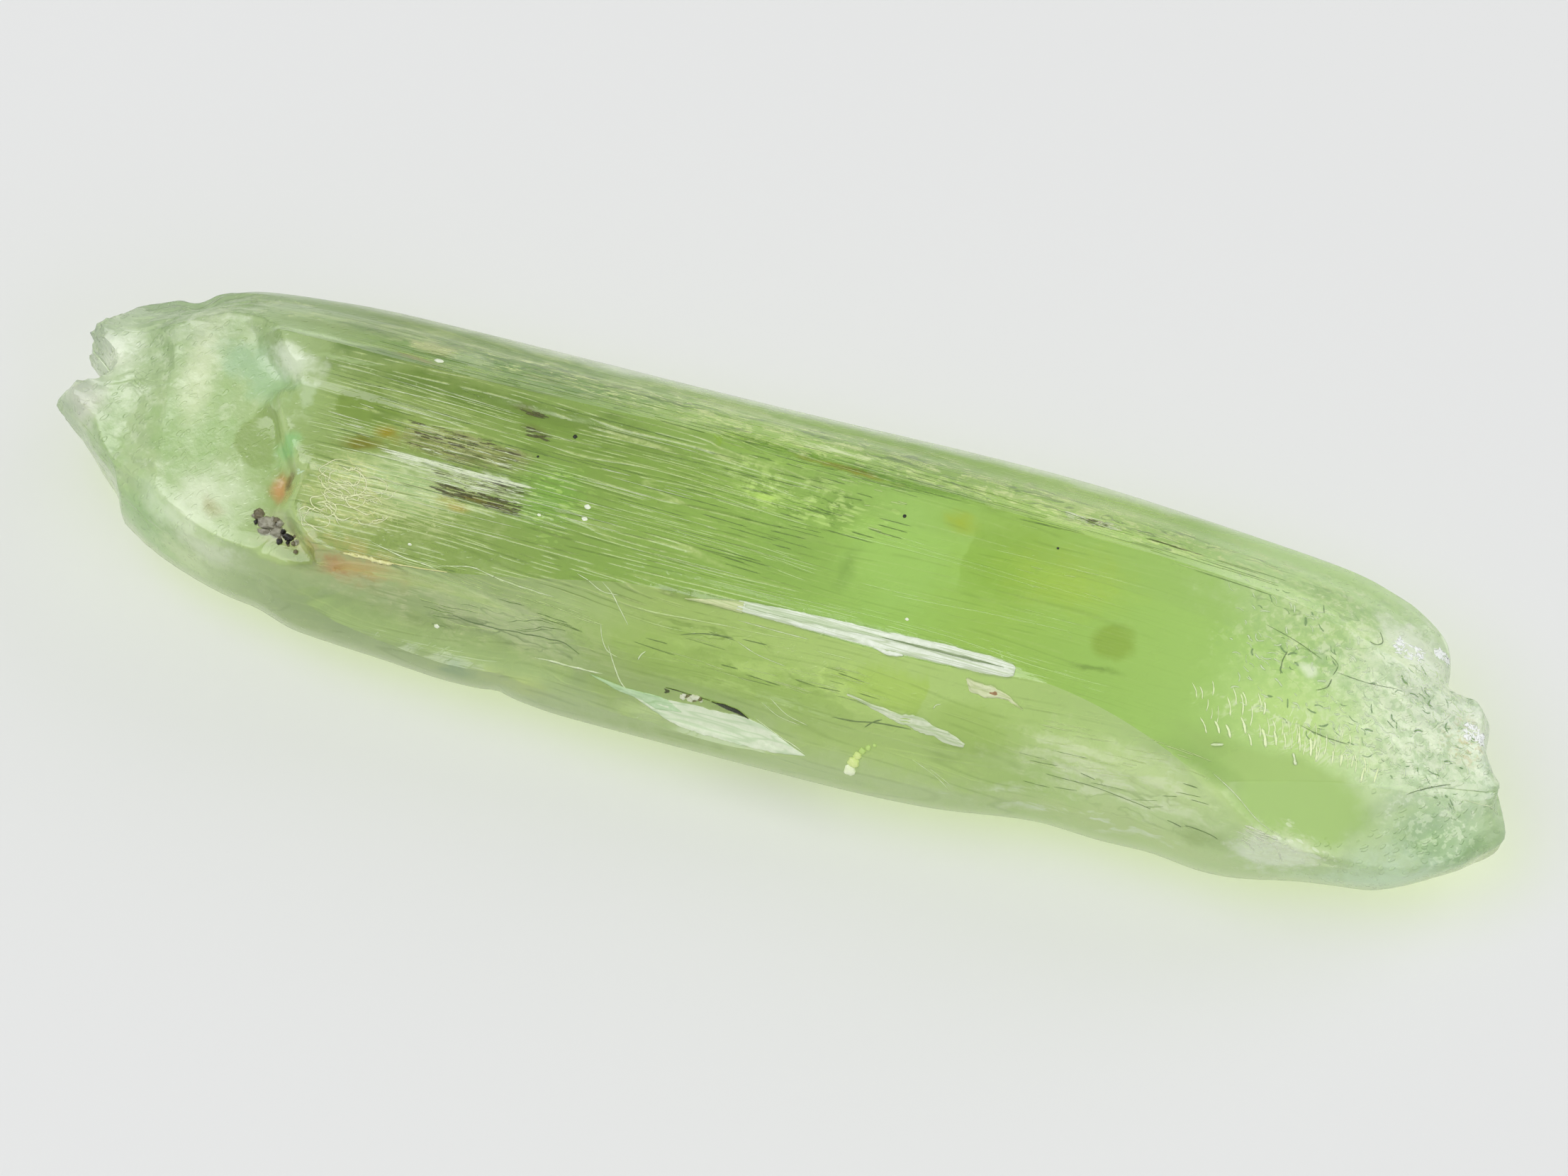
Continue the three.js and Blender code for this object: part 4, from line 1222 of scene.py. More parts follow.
def strokes(name, lines, material, lift=0.012):
    """Hair-thin raised lines on the skin as one piece: each is (half-width, corner points)."""
    points, faces = [], []
    for n, (half_width, corners) in enumerate(lines):
        line = [lay_down(x, y) for x, y in rounded(corners, STROKE_STEP)]
        line = [(here, out) for here, out in line if here is not None]
        if len(line) < 3:
            continue
        first = len(points)
        for k, (here, out) in enumerate(line):
            there, back = line[min(k + 1, len(line) - 1)][0], line[max(k - 1, 0)][0]
            side = out.cross(there - back).normalized()
            t = k / (len(line) - 1)
            taper = min(1.0, 5 * t + 0.15, 5 * (1 - t) + 0.15)
            half = half_width * taper * (1 + 0.45 * float(wave(n + 11, 9 * here.x, 9 * here.y)))
            points += [here + side * half - out * lift, here + out * lift]
            points += [here - side * half - out * lift]
        rows = len(line)
        for k in range(rows - 1):
            a = first + 3 * k
            for i in range(3):
                j = (i + 1) % 3
                faces.append((a + i, a + i + 3, a + j + 3, a + j))
        faces.append((first, first + 1, first + 2))
        last = first + 3 * (rows - 1)
        faces.append((last + 2, last + 1, last))
    add_piece(name, points, faces, material)


def bead(name, face, centre, size, material, seed=1, squash=0.6):
    """A small rounded grain or glint, half sunk in the skin: its size along X and across."""
    out = OUT[face]
    middle = settle(centre, out)
    shape = bmesh.new()
    bmesh.ops.create_icosphere(shape, subdivisions=3, radius=1.0)
    points = []
    for v in shape.verts:
        uneven = 1 + 0.18 * float(wave(seed, 2.3 * v.co.x + 5, 2.3 * v.co.y + 2.3 * v.co.z + 5))
        p = v.co * uneven
        p -= out * (p.dot(out) * (1 - squash))
        points.append(middle + Vector((p.x * size[0], p.y * size[1], p.z * size[1])))
    faces = [tuple(v.index for v in f.verts) for f in shape.faces]
    shape.free()
    add_piece(name, points, faces, material)


def lump(name, centre, size, material, seed):
    """A small many-faced crystal grain."""
    corners = 22
    shape = bmesh.new()
    for k in range(corners):
        turn, tip = 2.4 * k, math.acos(1 - 2 * (k + 0.5) / corners)
        reach = 1 + 0.25 * chance(k, seed)
        corner = (math.cos(turn) * math.sin(tip), math.sin(turn) * math.sin(tip), math.cos(tip))
        shape.verts.new([c + reach * s * w for c, s, w in zip(centre, size, corner)])
    bmesh.ops.convex_hull(shape, input=shape.verts)
    shape.verts.index_update()
    points = [v.co.copy() for v in shape.verts]
    faces = [tuple(v.index for v in f.verts) for f in shape.faces]
    shape.free()
    add_piece(name, points, faces, material, sharp_angle=20)


# ---------------------------------------------------------------------------------------------
# What lies on and in the crystal
# ---------------------------------------------------------------------------------------------


def near_crest_streak():
    """The long white splinter along the near crest, where a cleavage has lifted."""
    white = cleavage("splinter_white", (246, 252, 236), (190, 206, 164))
    inner = cleavage("splinter_inner", (220, 232, 200), (176, 198, 150), spacing=0.06)
    dark = cleavage("splinter_dark", (152, 170, 124), (108, 130, 84), spacing=0.06)
    sand = cleavage("splinter_sand", (218, 224, 172), (176, 196, 124))
    flake(
        "streak_main",
        "near crest",
        [
            (-0.6, -2.36, 5.72),
            (1.0, -2.30, 5.72),
            (3.2, -2.25, 5.72),
            (5.1, -2.17, 5.74),
            (6.9, -2.14, 5.76),
        ],
        [
            (0.0, 0.16, 0.16),
            (0.22, 0.22, 0.22),
            (0.5, 0.28, 0.27),
            (0.9, 0.29, 0.28),
            (0.98, 0.24, 0.22),
            (1.0, 0.12, 0.12),
        ],
        white,
        lift=0.045,
        ridges=0.025,
        ragged=0.05,
        seed=3,
        rows=150,
    )
    flake(
        "streak_tail",
        "near crest",
        [(-2.0, -2.55, 5.66), (-1.2, -2.46, 5.70), (-0.45, -2.38, 5.72)],
        [(0.0, 0.01, 0.02), (0.5, 0.09, 0.09), (1.0, 0.17, 0.17)],
        sand,
        lift=0.04,
        ridges=0.012,
        ragged=0.1,
        seed=4,
    )
    flake(
        "streak_inner",
        "near crest",
        [(-0.4, -2.34, 5.74), (1.2, -2.27, 5.74), (3.4, -2.18, 5.77)],
        [(0.0, 0.06, 0.07), (0.6, 0.09, 0.09), (1.0, 0.01, 0.02)],
        inner,
        lift=0.08,
        ragged=0.15,
        seed=5,
    )
    flake(
        "streak_seam",
        "near crest",
        [(3.3, -2.20, 5.80), (4.8, -2.16, 5.80), (6.6, -2.12, 5.82)],
        [(0.0, 0.01, 0.01), (0.3, 0.035, 0.03), (0.8, 0.04, 0.03), (1.0, 0.005, 0.005)],
        dark,
        lift=0.085,
        ragged=0.25,
        seed=6,
    )
    flake(
        "streak_fuzz",
        "near crest",
        [(3.15, -2.46, 5.62), (3.55, -2.50, 5.60), (3.95, -2.46, 5.62)],
        [(0.0, 0.04, 0.02), (0.4, 0.08, 0.06), (0.8, 0.08, 0.05), (1.0, 0.02, 0.02)],
        white,
        lift=0.05,
        ragged=0.5,
        seed=8,
        rows=40,
    )


def near_shoulder_flake():
    """The lens-shaped flake on the near shoulder, with the black crack along its upper edge."""
    pearl = cleavage("flake_pearl", (232, 240, 212), (196, 218, 174), spacing=0.2, shine=0.3)
    teal = cleavage("flake_teal", (202, 227, 184), (168, 202, 144), spacing=0.2, shine=0.3)
    black = grain_finish("crack_black", (58, 66, 34), (22, 28, 12), 0.4)
    white = grain_finish("speck_white", (240, 244, 222), (206, 212, 172), 0.4)
    brown = grain_finish("speck_brown", (150, 146, 96), (104, 104, 58), 0.5)
    dark = grain_finish("speck_dark", (96, 104, 56), (54, 64, 30), 0.5)
    flake(
        "shoulder_flake",
        "near bevel",
        [
            (-3.0, -4.50, 3.45),
            (-1.65, -4.57, 3.08),
            (-0.6, -4.56, 3.05),
            (0.5, -4.62, 3.14),
            (2.0, -4.82, 3.15),
        ],
        [
            (0.0, 0.02, 0.04),
            (0.15, 0.17, 0.24),
            (0.3, 0.36, 0.40),
            (0.5, 0.41, 0.44),
            (0.72, 0.44, 0.42),
            (0.85, 0.24, 0.26),
            (1.0, 0.0, 0.02),
        ],
        pearl,
        lift=0.035,
        ridges=0.02,
        ragged=0.06,
        seed=11,
        rows=140,
    )
    flake(
        "shoulder_flake_left",
        "near bevel",
        [(-4.0, -4.45, 3.75), (-2.9, -4.52, 3.45), (-1.5, -4.56, 3.15)],
        [(0.0, 0.0, 0.02), (0.5, 0.12, 0.14), (0.8, 0.22, 0.26), (1.0, 0.0, 0.02)],
        teal,
        lift=0.045,
        ridges=0.02,
        ragged=0.12,
        seed=12,
    )
    flake(
        "shoulder_crack",
        "near bevel",
        [(-0.75, -4.22, 3.60), (-0.4, -4.24, 3.55), (0.0, -4.28, 3.50), (0.3, -4.34, 3.42)],
        [(0.0, 0.0, 0.01), (0.15, 0.02, 0.02), (0.3, 0.08, 0.06), (0.65, 0.10, 0.08), (1.0, 0.0, 0.01)],
        black,
        lift=0.04,
        ragged=0.25,
        seed=14,
        rows=50,
    )
    flake(
        "shoulder_hairline",
        "near bevel",
        [(-2.0, -4.22, 3.72), (-1.4, -4.22, 3.68), (-0.8, -4.22, 3.62)],
        [
            (0.0, 0.0, 0.0),
            (0.2, 0.018, 0.018),
            (0.5, 0.002, 0.002),
            (0.8, 0.012, 0.012),
            (1.0, 0.0, 0.0),
        ],
        black,
        lift=0.02,
        ragged=0.5,
        seed=15,
        rows=60,
    )
    # The specks lie close together left of the crack, and every fourth is a small one further on.
    for n in range(15):
        lone = n % 4 == 3
        x = -1.95 + 0.14 * chance(n, 3) if lone else -1.28 + 0.24 * chance(n, 3)
        y = -4.26 - 0.10 * chance(n, 4)
        size = (0.05 if lone else 0.09) + 0.035 * chance(n, 5)
        finish = (white, brown, white, dark)[n % 4]
        bead(f"shoulder_speck_{n + 1}", "near bevel", (x, y, 3.6), (size, size), finish, seed=n)


def near_bevel_flakes():
    """Two ragged flakes on the near bevel, and below them a chain of small beads painted bright as glints.
    """
    pearl = cleavage("tongue_pearl", (224, 232, 202), (180, 200, 148), spacing=0.15)
    sand = cleavage("chip_sand", (224, 230, 186), (186, 200, 140), spacing=0.15)
    rust = grain_finish("chip_rust", (188, 150, 104), (140, 108, 66), 0.5)
    flake(
        "ragged_tongue",
        "near bevel",
        [
            (2.76, -3.55, 4.74),
            (3.53, -3.65, 4.62),
            (4.11, -3.71, 4.52),
            (4.79, -3.70, 4.49),
            (5.36, -3.78, 4.34),
            (6.05, -3.85, 4.20),
        ],
        [
            (0.0, 0.02, 0.02),
            (0.2, 0.05, 0.05),
            (0.4, 0.11, 0.10),
            (0.52, 0.21, 0.19),
            (0.62, 0.26, 0.19),
            (0.72, 0.13, 0.18),
            (0.88, 0.15, 0.17),
            (1.0, 0.06, 0.06),
        ],
        pearl,
        lift=0.022,
        ridges=0.03,
        ragged=0.3,
        seed=21,
        rows=110,
    )
    flake(
        "sandy_chip",
        "near bevel",
        [
            (5.71, -2.55, 5.45),
            (6.09, -2.70, 5.30),
            (6.52, -2.69, 5.28),
            (6.85, -2.68, 5.27),
            (7.34, -2.82, 5.13),
        ],
        [
            (0.0, 0.02, 0.02),
            (0.2, 0.22, 0.22),
            (0.48, 0.17, 0.17),
            (0.62, 0.10, 0.08),
            (0.8, 0.04, 0.05),
            (1.0, 0.0, 0.01),
        ],
        sand,
        lift=0.022,
        ridges=0.03,
        ragged=0.3,
        seed=22,
        rows=70,
    )
    bead("chip_rust_spot", "near bevel", (6.5, -2.69, 5.28), (0.12, 0.09), rust, seed=4, squash=0.45)
    # Painted glints: the beads are painted bright green, yellow and white, standing for glints of light.
    green = grain_finish("glint_bead_green", (206, 232, 140), (178, 212, 108), 0.35)
    yellow_glint = grain_finish("glint_bead_yellow", (236, 248, 172), (212, 234, 136), 0.35)
    white = grain_finish("glint_bead_white", (250, 255, 230), (234, 246, 196), 0.3)
    chain = [
        ((3.75, -4.30, 3.76), 0.05, green),
        ((3.60, -4.38, 3.68), 0.07, green),
        ((3.46, -4.46, 3.58), 0.09, green),
        ((3.36, -4.56, 3.44), 0.12, yellow_glint),
        ((3.29, -4.68, 3.27), 0.16, yellow_glint),
        ((3.23, -4.83, 3.06), 0.16, white),
    ]
    for n, (spot, size, finish) in enumerate(chain):
        bead(f"bead_{n + 1}", "near bevel", spot, (size, size), finish, seed=30 + n)


def ledge_grain():
    """The dark mineral grain caught under the ledge: a cluster of small grey and black lumps."""
    silver = grain_finish("grain_silver", (190, 188, 168), (124, 120, 100), 0.45)
    brown = grain_finish("grain_brown", (142, 134, 104), (86, 80, 56), 0.6)
    black = grain_finish("grain_black", (52, 50, 42), (18, 18, 14), 0.35)
    lumps = [
        ((-13.36, -3.20, 4.72), (0.28, 0.20, 0.18), silver),
        ((-13.02, -3.34, 4.70), (0.22, 0.18, 0.18), silver),
        ((-13.66, -3.00, 4.72), (0.15, 0.16, 0.14), brown),
        ((-13.39, -3.42, 4.66), (0.22, 0.10, 0.14), silver),
        ((-13.12, -3.07, 4.80), (0.15, 0.09, 0.12), brown),
        ((-12.70, -3.43, 4.72), (0.17, 0.10, 0.14), black),
        ((-12.44, -3.52, 4.74), (0.10, 0.08, 0.10), silver),
    ]
    for n, (centre, size, finish) in enumerate(lumps):
        lump(f"grain_{n + 1}", centre, size, finish, n + 2)
    # Crumbs along a line from the upper left of the cluster to its lower right.
    for n in range(26):
        t = 0.5 + 0.5 * chance(n, 41)
        x = -13.84 + 1.45 * t + 0.05 * chance(n, 42)
        y = -2.98 - 0.62 * t + 0.22 * chance(n, 43)
        size = 0.06 + 0.035 * chance(n, 44)
        place = lay_down(x, y)[0]
        finish = (brown, silver, black)[n % 3]
        lump(f"grain_crumb_{n + 1}", (x, y, place.z + 0.4 * size), (size, size, size), finish, n + 12)


# Pale lines on the skin, seen from above: half-width and corner points.
PALE_LINES = [
    (0.026, [(-10.4, -3.31), (-9.5, -3.50), (-9.0, -3.54), (-8.5, -3.61)]),
    (0.024, [(-8.5, -3.52), (-8.1, -3.40), (-7.6, -3.30), (-7.0, -3.40), (-6.4, -3.40), (-5.3, -3.36)]),
    (0.020, [(-4.9, -2.72), (-4.4, -2.88), (-4.1, -2.93), (-3.7, -2.89)]),
    (0.022, [(-4.2, -2.76), (-3.9, -2.90), (-3.6, -3.15), (-3.3, -3.41)]),
    (0.022, [(-4.0, -3.56), (-3.9, -3.81), (-3.7, -4.02), (-3.4, -4.08)]),
    (0.040, [(-5.6, -4.34), (-4.9, -4.39), (-4.3, -4.45), (-3.7, -4.42)]),
    (0.022, [(-12.0, -0.90), (-11.0, -0.86), (-10.2, -0.84), (-9.3, -0.83)]),
    (0.018, [(-12.3, 1.01), (-10.9, 1.09), (-9.4, 1.14), (-7.9, 1.08)]),
    (0.014, [(-11.1, 0.68), (-9.9, 0.63), (-9.2, 0.65)]),
    (0.034, [(-3.7, -3.92), (-3.4, -4.27), (-3.1, -4.50), (-2.6, -4.55)]),
    (0.030, [(-2.85, -4.02), (-2.78, -3.90), (-2.68, -3.82)]),
    (0.018, [(-0.5, -2.68), (0.65, -2.68), (1.43, -2.67)]),
    (0.016, [(-0.4, -3.10), (0.2, -3.26), (1.0, -3.34)]),
    (0.020, [(0.8, -4.03), (1.3, -4.22), (1.9, -4.30)]),
    (0.015, [(0.6, -4.14), (1.1, -4.28), (1.7, -4.33)]),
    (0.022, [(0.50, -4.34), (0.95, -4.47), (1.4, -4.62), (1.95, -4.78)]),
    (0.022, [(2.8, -3.55), (3.5, -3.66), (4.2, -3.71)]),
    (0.020, [(5.05, -3.34), (5.10, -3.25), (5.22, -3.20)]),
    (0.014, [(4.8, -4.34), (5.5, -4.50), (5.9, -4.64)]),
    (0.012, [(5.3, -4.40), (5.9, -4.55)]),
    (0.055, [(12.35, -2.50), (12.66, -2.37)]),
    (0.065, [(14.42, -1.86), (14.50, -2.00), (14.58, -2.17)]),
    (0.018, [(12.6, -3.19), (13.4, -3.50), (14.1, -3.80), (14.9, -3.90)]),
    (0.020, [(18.9, -1.22), (19.4, -1.13), (19.8, -1.00)]),
]

# Dark hairline cracks in the same way.
DARK_LINES = [
    (0.026, [(-8.0, -3.91), (-7.1, -3.96), (-6.1, -3.98), (-5.0, -4.07), (-4.4, -4.22)]),
    (0.016, [(-1.9, -3.30), (-1.3, -3.14), (-0.5, -3.06)]),
    (0.022, [(2.5, -4.05), (3.1, -4.01), (3.7, -3.92), (4.6, -3.85)]),
    (0.020, [(3.4, -4.06), (3.6, -3.92), (3.8, -3.84)]),
    (0.020, [(9.2, -3.72), (9.6, -3.78)]),
    (0.015, [(8.3, -3.83), (9.4, -3.87), (10.4, -3.96), (11.2, -4.02)]),
    (0.024, [(11.7, -4.13), (12.1, -4.21)]),
    (0.020, [(12.2, -4.20), (12.7, -4.25), (13.1, -4.29)]),
    (0.018, [(13.5, 0.78), (13.45, 0.47), (13.5, 0.10)]),
    (0.018, [(14.8, 0.50), (14.75, 0.22), (14.5, 0.02)]),
    (0.012, [(14.6, 1.09), (14.85, 0.91), (14.8, 0.61)]),
    (0.011, [(12.8, 1.29), (13.6, 1.14), (14.4, 0.91)]),
    (0.012, [(14.9, 0.72), (15.7, 0.76), (16.5, 0.95)]),
    (0.018, [(14.0, 2.55), (14.1, 2.20)]),
    (0.020, [(15.6, 2.40), (15.75, 2.12), (15.65, 1.92), (15.45, 1.90)]),
    (0.014, [(14.4, -1.08), (15.0, -1.12), (15.7, -1.07)]),
    (0.018, [(17.5, -1.72), (18.0, -1.28), (18.5, -0.95)]),
]


# The two strokes of the bright line along the near crest.
CREST_LINE = [
    (0.065, [(-11.1, -3.80), (-10.3, -3.80), (-9.6, -3.77)]),
    (0.028, [(-9.8, -3.77), (-9.1, -3.72), (-8.2, -3.62)]),
]

CURLS = 25  # curly scratches beside the ledge
FOOT_CURLS = 5  # and in a knot at its foot
CURL_CORNERS = 9


def scratches():
    """Fine lines: the curly scratches beside the ledge, pale hooks and dark hairline cracks."""
    pale = grain_finish("scratch_pale", (244, 248, 204), (216, 226, 164), 0.4)
    white = grain_finish("line_pale", (242, 250, 216), (204, 224, 164), 0.4)
    dark = grain_finish("hairline_dark", (132, 158, 92), (88, 114, 54), 0.5)
    curls = []
    for n in range(CURLS + FOOT_CURLS):
        middle_x = -11.3 + 0.75 * chance(n, 51)
        middle_y = -2.15 + 0.7 * chance(n, 52)
        if n >= CURLS:
            middle_x, middle_y = -12.0, -3.05
        reach = 0.22 + 0.20 * abs(chance(n, 53))
        start = math.pi * chance(n, 54)
        turn = math.radians(190 + 150 * chance(n, 55))
        corners = []
        for k in range(CURL_CORNERS):
            angle = start + turn * k / (CURL_CORNERS - 1)
            uneven = reach * (1 + 0.25 * float(wave(n + 60, 1.3 * k)))
            x = middle_x + 1.35 * uneven * math.cos(angle)
            corners.append((x, middle_y + 0.85 * uneven * math.sin(angle)))
        curls.append((0.018 + 0.005 * (n % 3), corners))
    strokes("curly_scratches", curls, pale)
    strokes("pale_lines", PALE_LINES, white)
    strokes("dark_hairlines", DARK_LINES, dark)
    bright = grain_finish("crest_line_pale", (250, 248, 196), (220, 220, 136), 0.35)
    strokes("crest_line", CREST_LINE, bright, lift=0.03)


# Straight fibres side by side along the crystal: a piece's light and dark colour, and its
# fields. A field is its middle (x, y) and its reach, how many fibres it has, their half-width,
# and their shortest and longest half-length.
FIBRES = {
    "white_fibres": ((240, 246, 220), (206, 220, 174), [
        ((-9.0, -0.68), (1.5, 0.07), 24, 0.030, (0.4, 1.1)),
        ((-8.1, -1.0), (1.2, 0.24), 34, 0.015, (0.1, 0.35)),
        ((-9.0, 0.0), (1.5, 0.36), 30, 0.012, (0.1, 0.3)),
        ((-11.9, 0.1), (0.5, 0.5), 10, 0.010, (0.2, 0.4)),
        ((7.5, 3.05), (0.7, 0.16), 36, 0.022, (0.05, 0.2)),
        ((14.7, -4.1), (1.0, 0.14), 26, 0.022, (0.1, 0.3)),
        ((-6.4, -0.3), (4.6, 2.0), 34, 0.009, (0.4, 1.6)),
    ]),
    "dark_fibres": ((104, 106, 50), (62, 64, 22), [
        ((-8.0, -1.36), (1.2, 0.17), 44, 0.019, (0.08, 0.3)),
        ((-8.0, -0.85), (1.3, 0.22), 22, 0.012, (0.1, 0.3)),
        ((-9.0, 0.05), (1.5, 0.36), 34, 0.015, (0.08, 0.25)),
        ((-7.14, 0.95), (0.25, 0.12), 12, 0.020, (0.08, 0.2)),
        ((-7.49, 1.5), (0.3, 0.07), 10, 0.022, (0.08, 0.25)),
        ((7.65, 3.02), (0.35, 0.10), 20, 0.020, (0.04, 0.14)),
        ((9.7, 2.95), (0.6, 0.04), 8, 0.018, (0.15, 0.4)),
    ]),
    "deep_green_lines": ((128, 158, 72), (88, 118, 44), [
        ((-6.5, 0.2), (5.5, 1.9), 44, 0.011, (0.3, 1.4)),
        ((0.5, 1.4), (2.2, 0.9), 26, 0.014, (0.15, 0.5)),
        ((0.0, 2.6), (12.0, 0.45), 60, 0.014, (0.3, 1.3)),
        ((0.0, -0.3), (2.0, 1.4), 14, 0.013, (0.2, 0.7)),
        ((-7.0, -3.8), (2.6, 0.35), 16, 0.013, (0.2, 0.8)),
        ((0.5, -3.4), (3.0, 0.45), 16, 0.012, (0.15, 0.6)),
        ((10.2, -3.7), (2.4, 0.4), 12, 0.014, (0.15, 0.5)),
    ]),
    "light_green_lines": ((214, 230, 164), (180, 206, 122), [
        ((0.0, 2.7), (12.0, 0.5), 46, 0.013, (0.2, 0.9)),
        ((0.5, 1.3), (2.4, 0.9), 30, 0.018, (0.06, 0.25)),
        ((6.8, 0.6), (1.6, 1.6), 8, 0.008, (0.1, 0.3)),
        ((-7.0, -3.7), (2.6, 0.35), 26, 0.014, (0.2, 0.8)),
        ((1.0, -3.5), (2.6, 0.45), 20, 0.012, (0.15, 0.6)),
        ((10.2, -3.4), (2.2, 0.5), 26, 0.016, (0.15, 0.6)),
    ]),
}


def field_of_fibres(seed, middle, reach, count, half_width, lengths):
    """The lines of one field, each a little off the straight."""
    shortest, longest = lengths
    lines = []
    for n in range(count):
        x = middle[0] + reach[0] * chance(n, seed + 1)
        y = middle[1] + reach[1] * chance(n, seed + 2)
        half = shortest + (longest - shortest) * (0.5 + 0.5 * chance(n, seed + 3))
        lean = 0.02 * chance(n, seed + 4)
        thick = half_width * (1 + 0.4 * chance(n, seed + 5))
        lines.append((thick, [(x - half, y - lean), (x, y), (x + half, y + lean)]))
    return lines


def fibres():
    """Straight fine lines in fields: splintered cleavage, growth lines and mineral fibres."""
    for k, (name, (light, dark, fields)) in enumerate(FIBRES.items()):
        lines = []
        for f, field in enumerate(fields):
            lines += field_of_fibres(100 * k + 10 * f, *field)
        strokes(name, lines, grain_finish(name, light, dark, 0.4), lift=0.006)


def etched_ripple_highlights():
    """Bent ripples in a row across the etched field, and bolder ones along its foot, all painted bright as
    highlights.
    """
    ripples = []
    # Thin ones, not quite in a row.
    for n in range(34):
        x = 11.6 + 0.145 * n + 0.08 * chance(n, 71)
        y = -1.25 + 0.4 * chance(n, 72) + 0.03 * (x - 14)
        half = 0.16 + 0.14 * abs(chance(n, 73))
        bend = 0.09 + 0.06 * chance(n, 74)
        corners = [(x - bend, y + half), (x + 0.02, y), (x + 0.6 * bend, y - half)]
        ripples.append((0.026 + 0.012 * chance(n, 75), corners))
    # Bold ones, more and more upright from left to right.
    for n in range(16):
        x = 12.05 + 0.30 * n + 0.07 * chance(n, 76)
        y = -1.75 + 0.22 * chance(n, 77) + 0.08 * (x - 14)
        half = 0.15 + 0.09 * abs(chance(n, 78))
        lean = half * (0.75 - 0.05 * n)
        corners = [(x - lean, y + half), (x + 0.2 * lean, y + 0.1 * half), (x + lean, y - half)]
        ripples.append((0.048 + 0.020 * chance(n, 79), corners))
    # Painted highlights: the ripples are near white, standing for the light they catch.
    bright = grain_finish("etch_highlight", (250, 255, 218), (226, 244, 176), 0.35)
    strokes("etched_ripple_highlights", ripples, bright)


def etched_flecks(name, count, seed, finish):
    """Short bent flecks over the right end, closer together towards the tip."""
    flecks = []
    for n in range(count):
        t = 0.5 + 0.5 * chance(n, seed)
        x = 11.5 + 7.3 * t**0.6
        y = 0.85 + 1.85 * chance(n, seed + 1) - 0.09 * (x - 11.5)
        angle = math.radians(-20 + 55 * chance(n, seed + 2))
        half = 0.05 + 0.10 * abs(chance(n, seed + 3))
        dx, dy = half * math.cos(angle), half * math.sin(angle)
        bend = 0.5 * chance(n, seed + 4)
        corners = [(x - dx, y - dy), (x - bend * dy, y + bend * dx), (x + dx, y + dy)]
        flecks.append((0.021 + 0.012 * chance(n, seed + 5), corners))
    strokes(name, flecks, finish, lift=0.008)


# Where the right end is frosted white: the middle (x, y) of each corner and its reach.
FROSTED_CORNERS = [(16.45, 2.25, 0.4), (17.25, 2.72, 0.2), (18.7, 0.7, 0.3)]


def frost_flecks():
    """Short white flecks in the frosted corners."""
    flecks = []
    for n in range(120):
        middle_x, middle_y, reach = FROSTED_CORNERS[n % len(FROSTED_CORNERS)]
        x = middle_x + reach * chance(n, 101)
        y = middle_y + 0.7 * reach * chance(n, 102)
        angle = math.pi * chance(n, 103)
        half = 0.05 + 0.06 * abs(chance(n, 104))
        dx, dy = half * math.cos(angle), half * math.sin(angle)
        flecks.append((0.040 + 0.02 * chance(n, 105), [(x - dx, y - dy), (x + dx, y + dy)]))
    frost = grain_finish("frost_white", (255, 255, 255), (246, 252, 244), 0.4)
    strokes("frost_flecks", flecks, frost, lift=0.006)


def etched_marks():
    """All that is raised on the etched right end."""
    etched_ripple_highlights()
    light = grain_finish("etch_light", (230, 242, 208), (196, 218, 160), 0.35)
    etched_flecks("etched_light_flecks", 340, 80, light)
    dark = grain_finish("etch_dark", (150, 182, 118), (114, 150, 88), 0.45)
    etched_flecks("etched_dark_flecks", 85, 90, dark)
    frost_flecks()


# Single dots: the face that each is on, its place and its size.
DARK_DOTS = [
    ("upper", (-6.19, 1.15, 5.8), 0.06),
    ("upper", (-6.95, 0.30, 5.77), 0.035),
    ("upper", (2.82, 1.41, 5.83), 0.05),
    ("upper", (6.95, 1.68, 5.8), 0.035),
]
# Painted glints: the bright dots are near-white beads standing for sparkles of light.
GLINT_DOTS = [
    ("upper", (-5.24, -0.78, 5.83), 0.07),
    ("upper", (-5.20, -1.14, 5.81), 0.06),
    ("upper", (-6.39, -1.36, 5.77), 0.04),
    ("upper", (3.77, -1.51, 5.82), 0.04),
    ("far bevel", (-10.40, 2.44, 5.42), 0.10),
    ("near bevel", (-8.38, -4.14, 3.43), 0.06),
    ("near bevel", (-9.4, -3.02, 5.5), 0.045),
]


def specks():
    """The single dark dots, and the bright dots that are painted glints."""
    black = grain_finish("dot_black", (40, 48, 22), (18, 24, 10), 0.4)
    white = grain_finish("glint_white", (252, 254, 240), (230, 240, 206), 0.3)
    for n, (face, place, size) in enumerate(DARK_DOTS):
        bead(f"black_dot_{n + 1}", face, place, (size, size), black, seed=n, squash=0.4)
    for n, (face, place, size) in enumerate(GLINT_DOTS):
        bead(f"glint_dot_{n + 1}", face, place, (1.3 * size, size), white, seed=n + 9, squash=0.4)


# ---------------------------------------------------------------------------------------------
# Studio
# ---------------------------------------------------------------------------------------------

VIEW_AZIMUTH = 17.1
VIEW_ELEVATION = 62.0
VIEW_DISTANCE = 300.0
VIEW_WIDTH = 41.58  # what the camera takes in at the crystal
VIEW_SHIFT = (-0.06, -0.08)  # of its middle, to the right and up
SENSOR = 36.0

FLOOR_HALF = 1.5  # metres
FLOOR_DROP = 0.00003  # metres below the crystal's foot, so that the two don't lie in one plane

SKY_COLOUR = (0.95, 0.97, 1.0, 1)
SKY_STRENGTH = 0.43

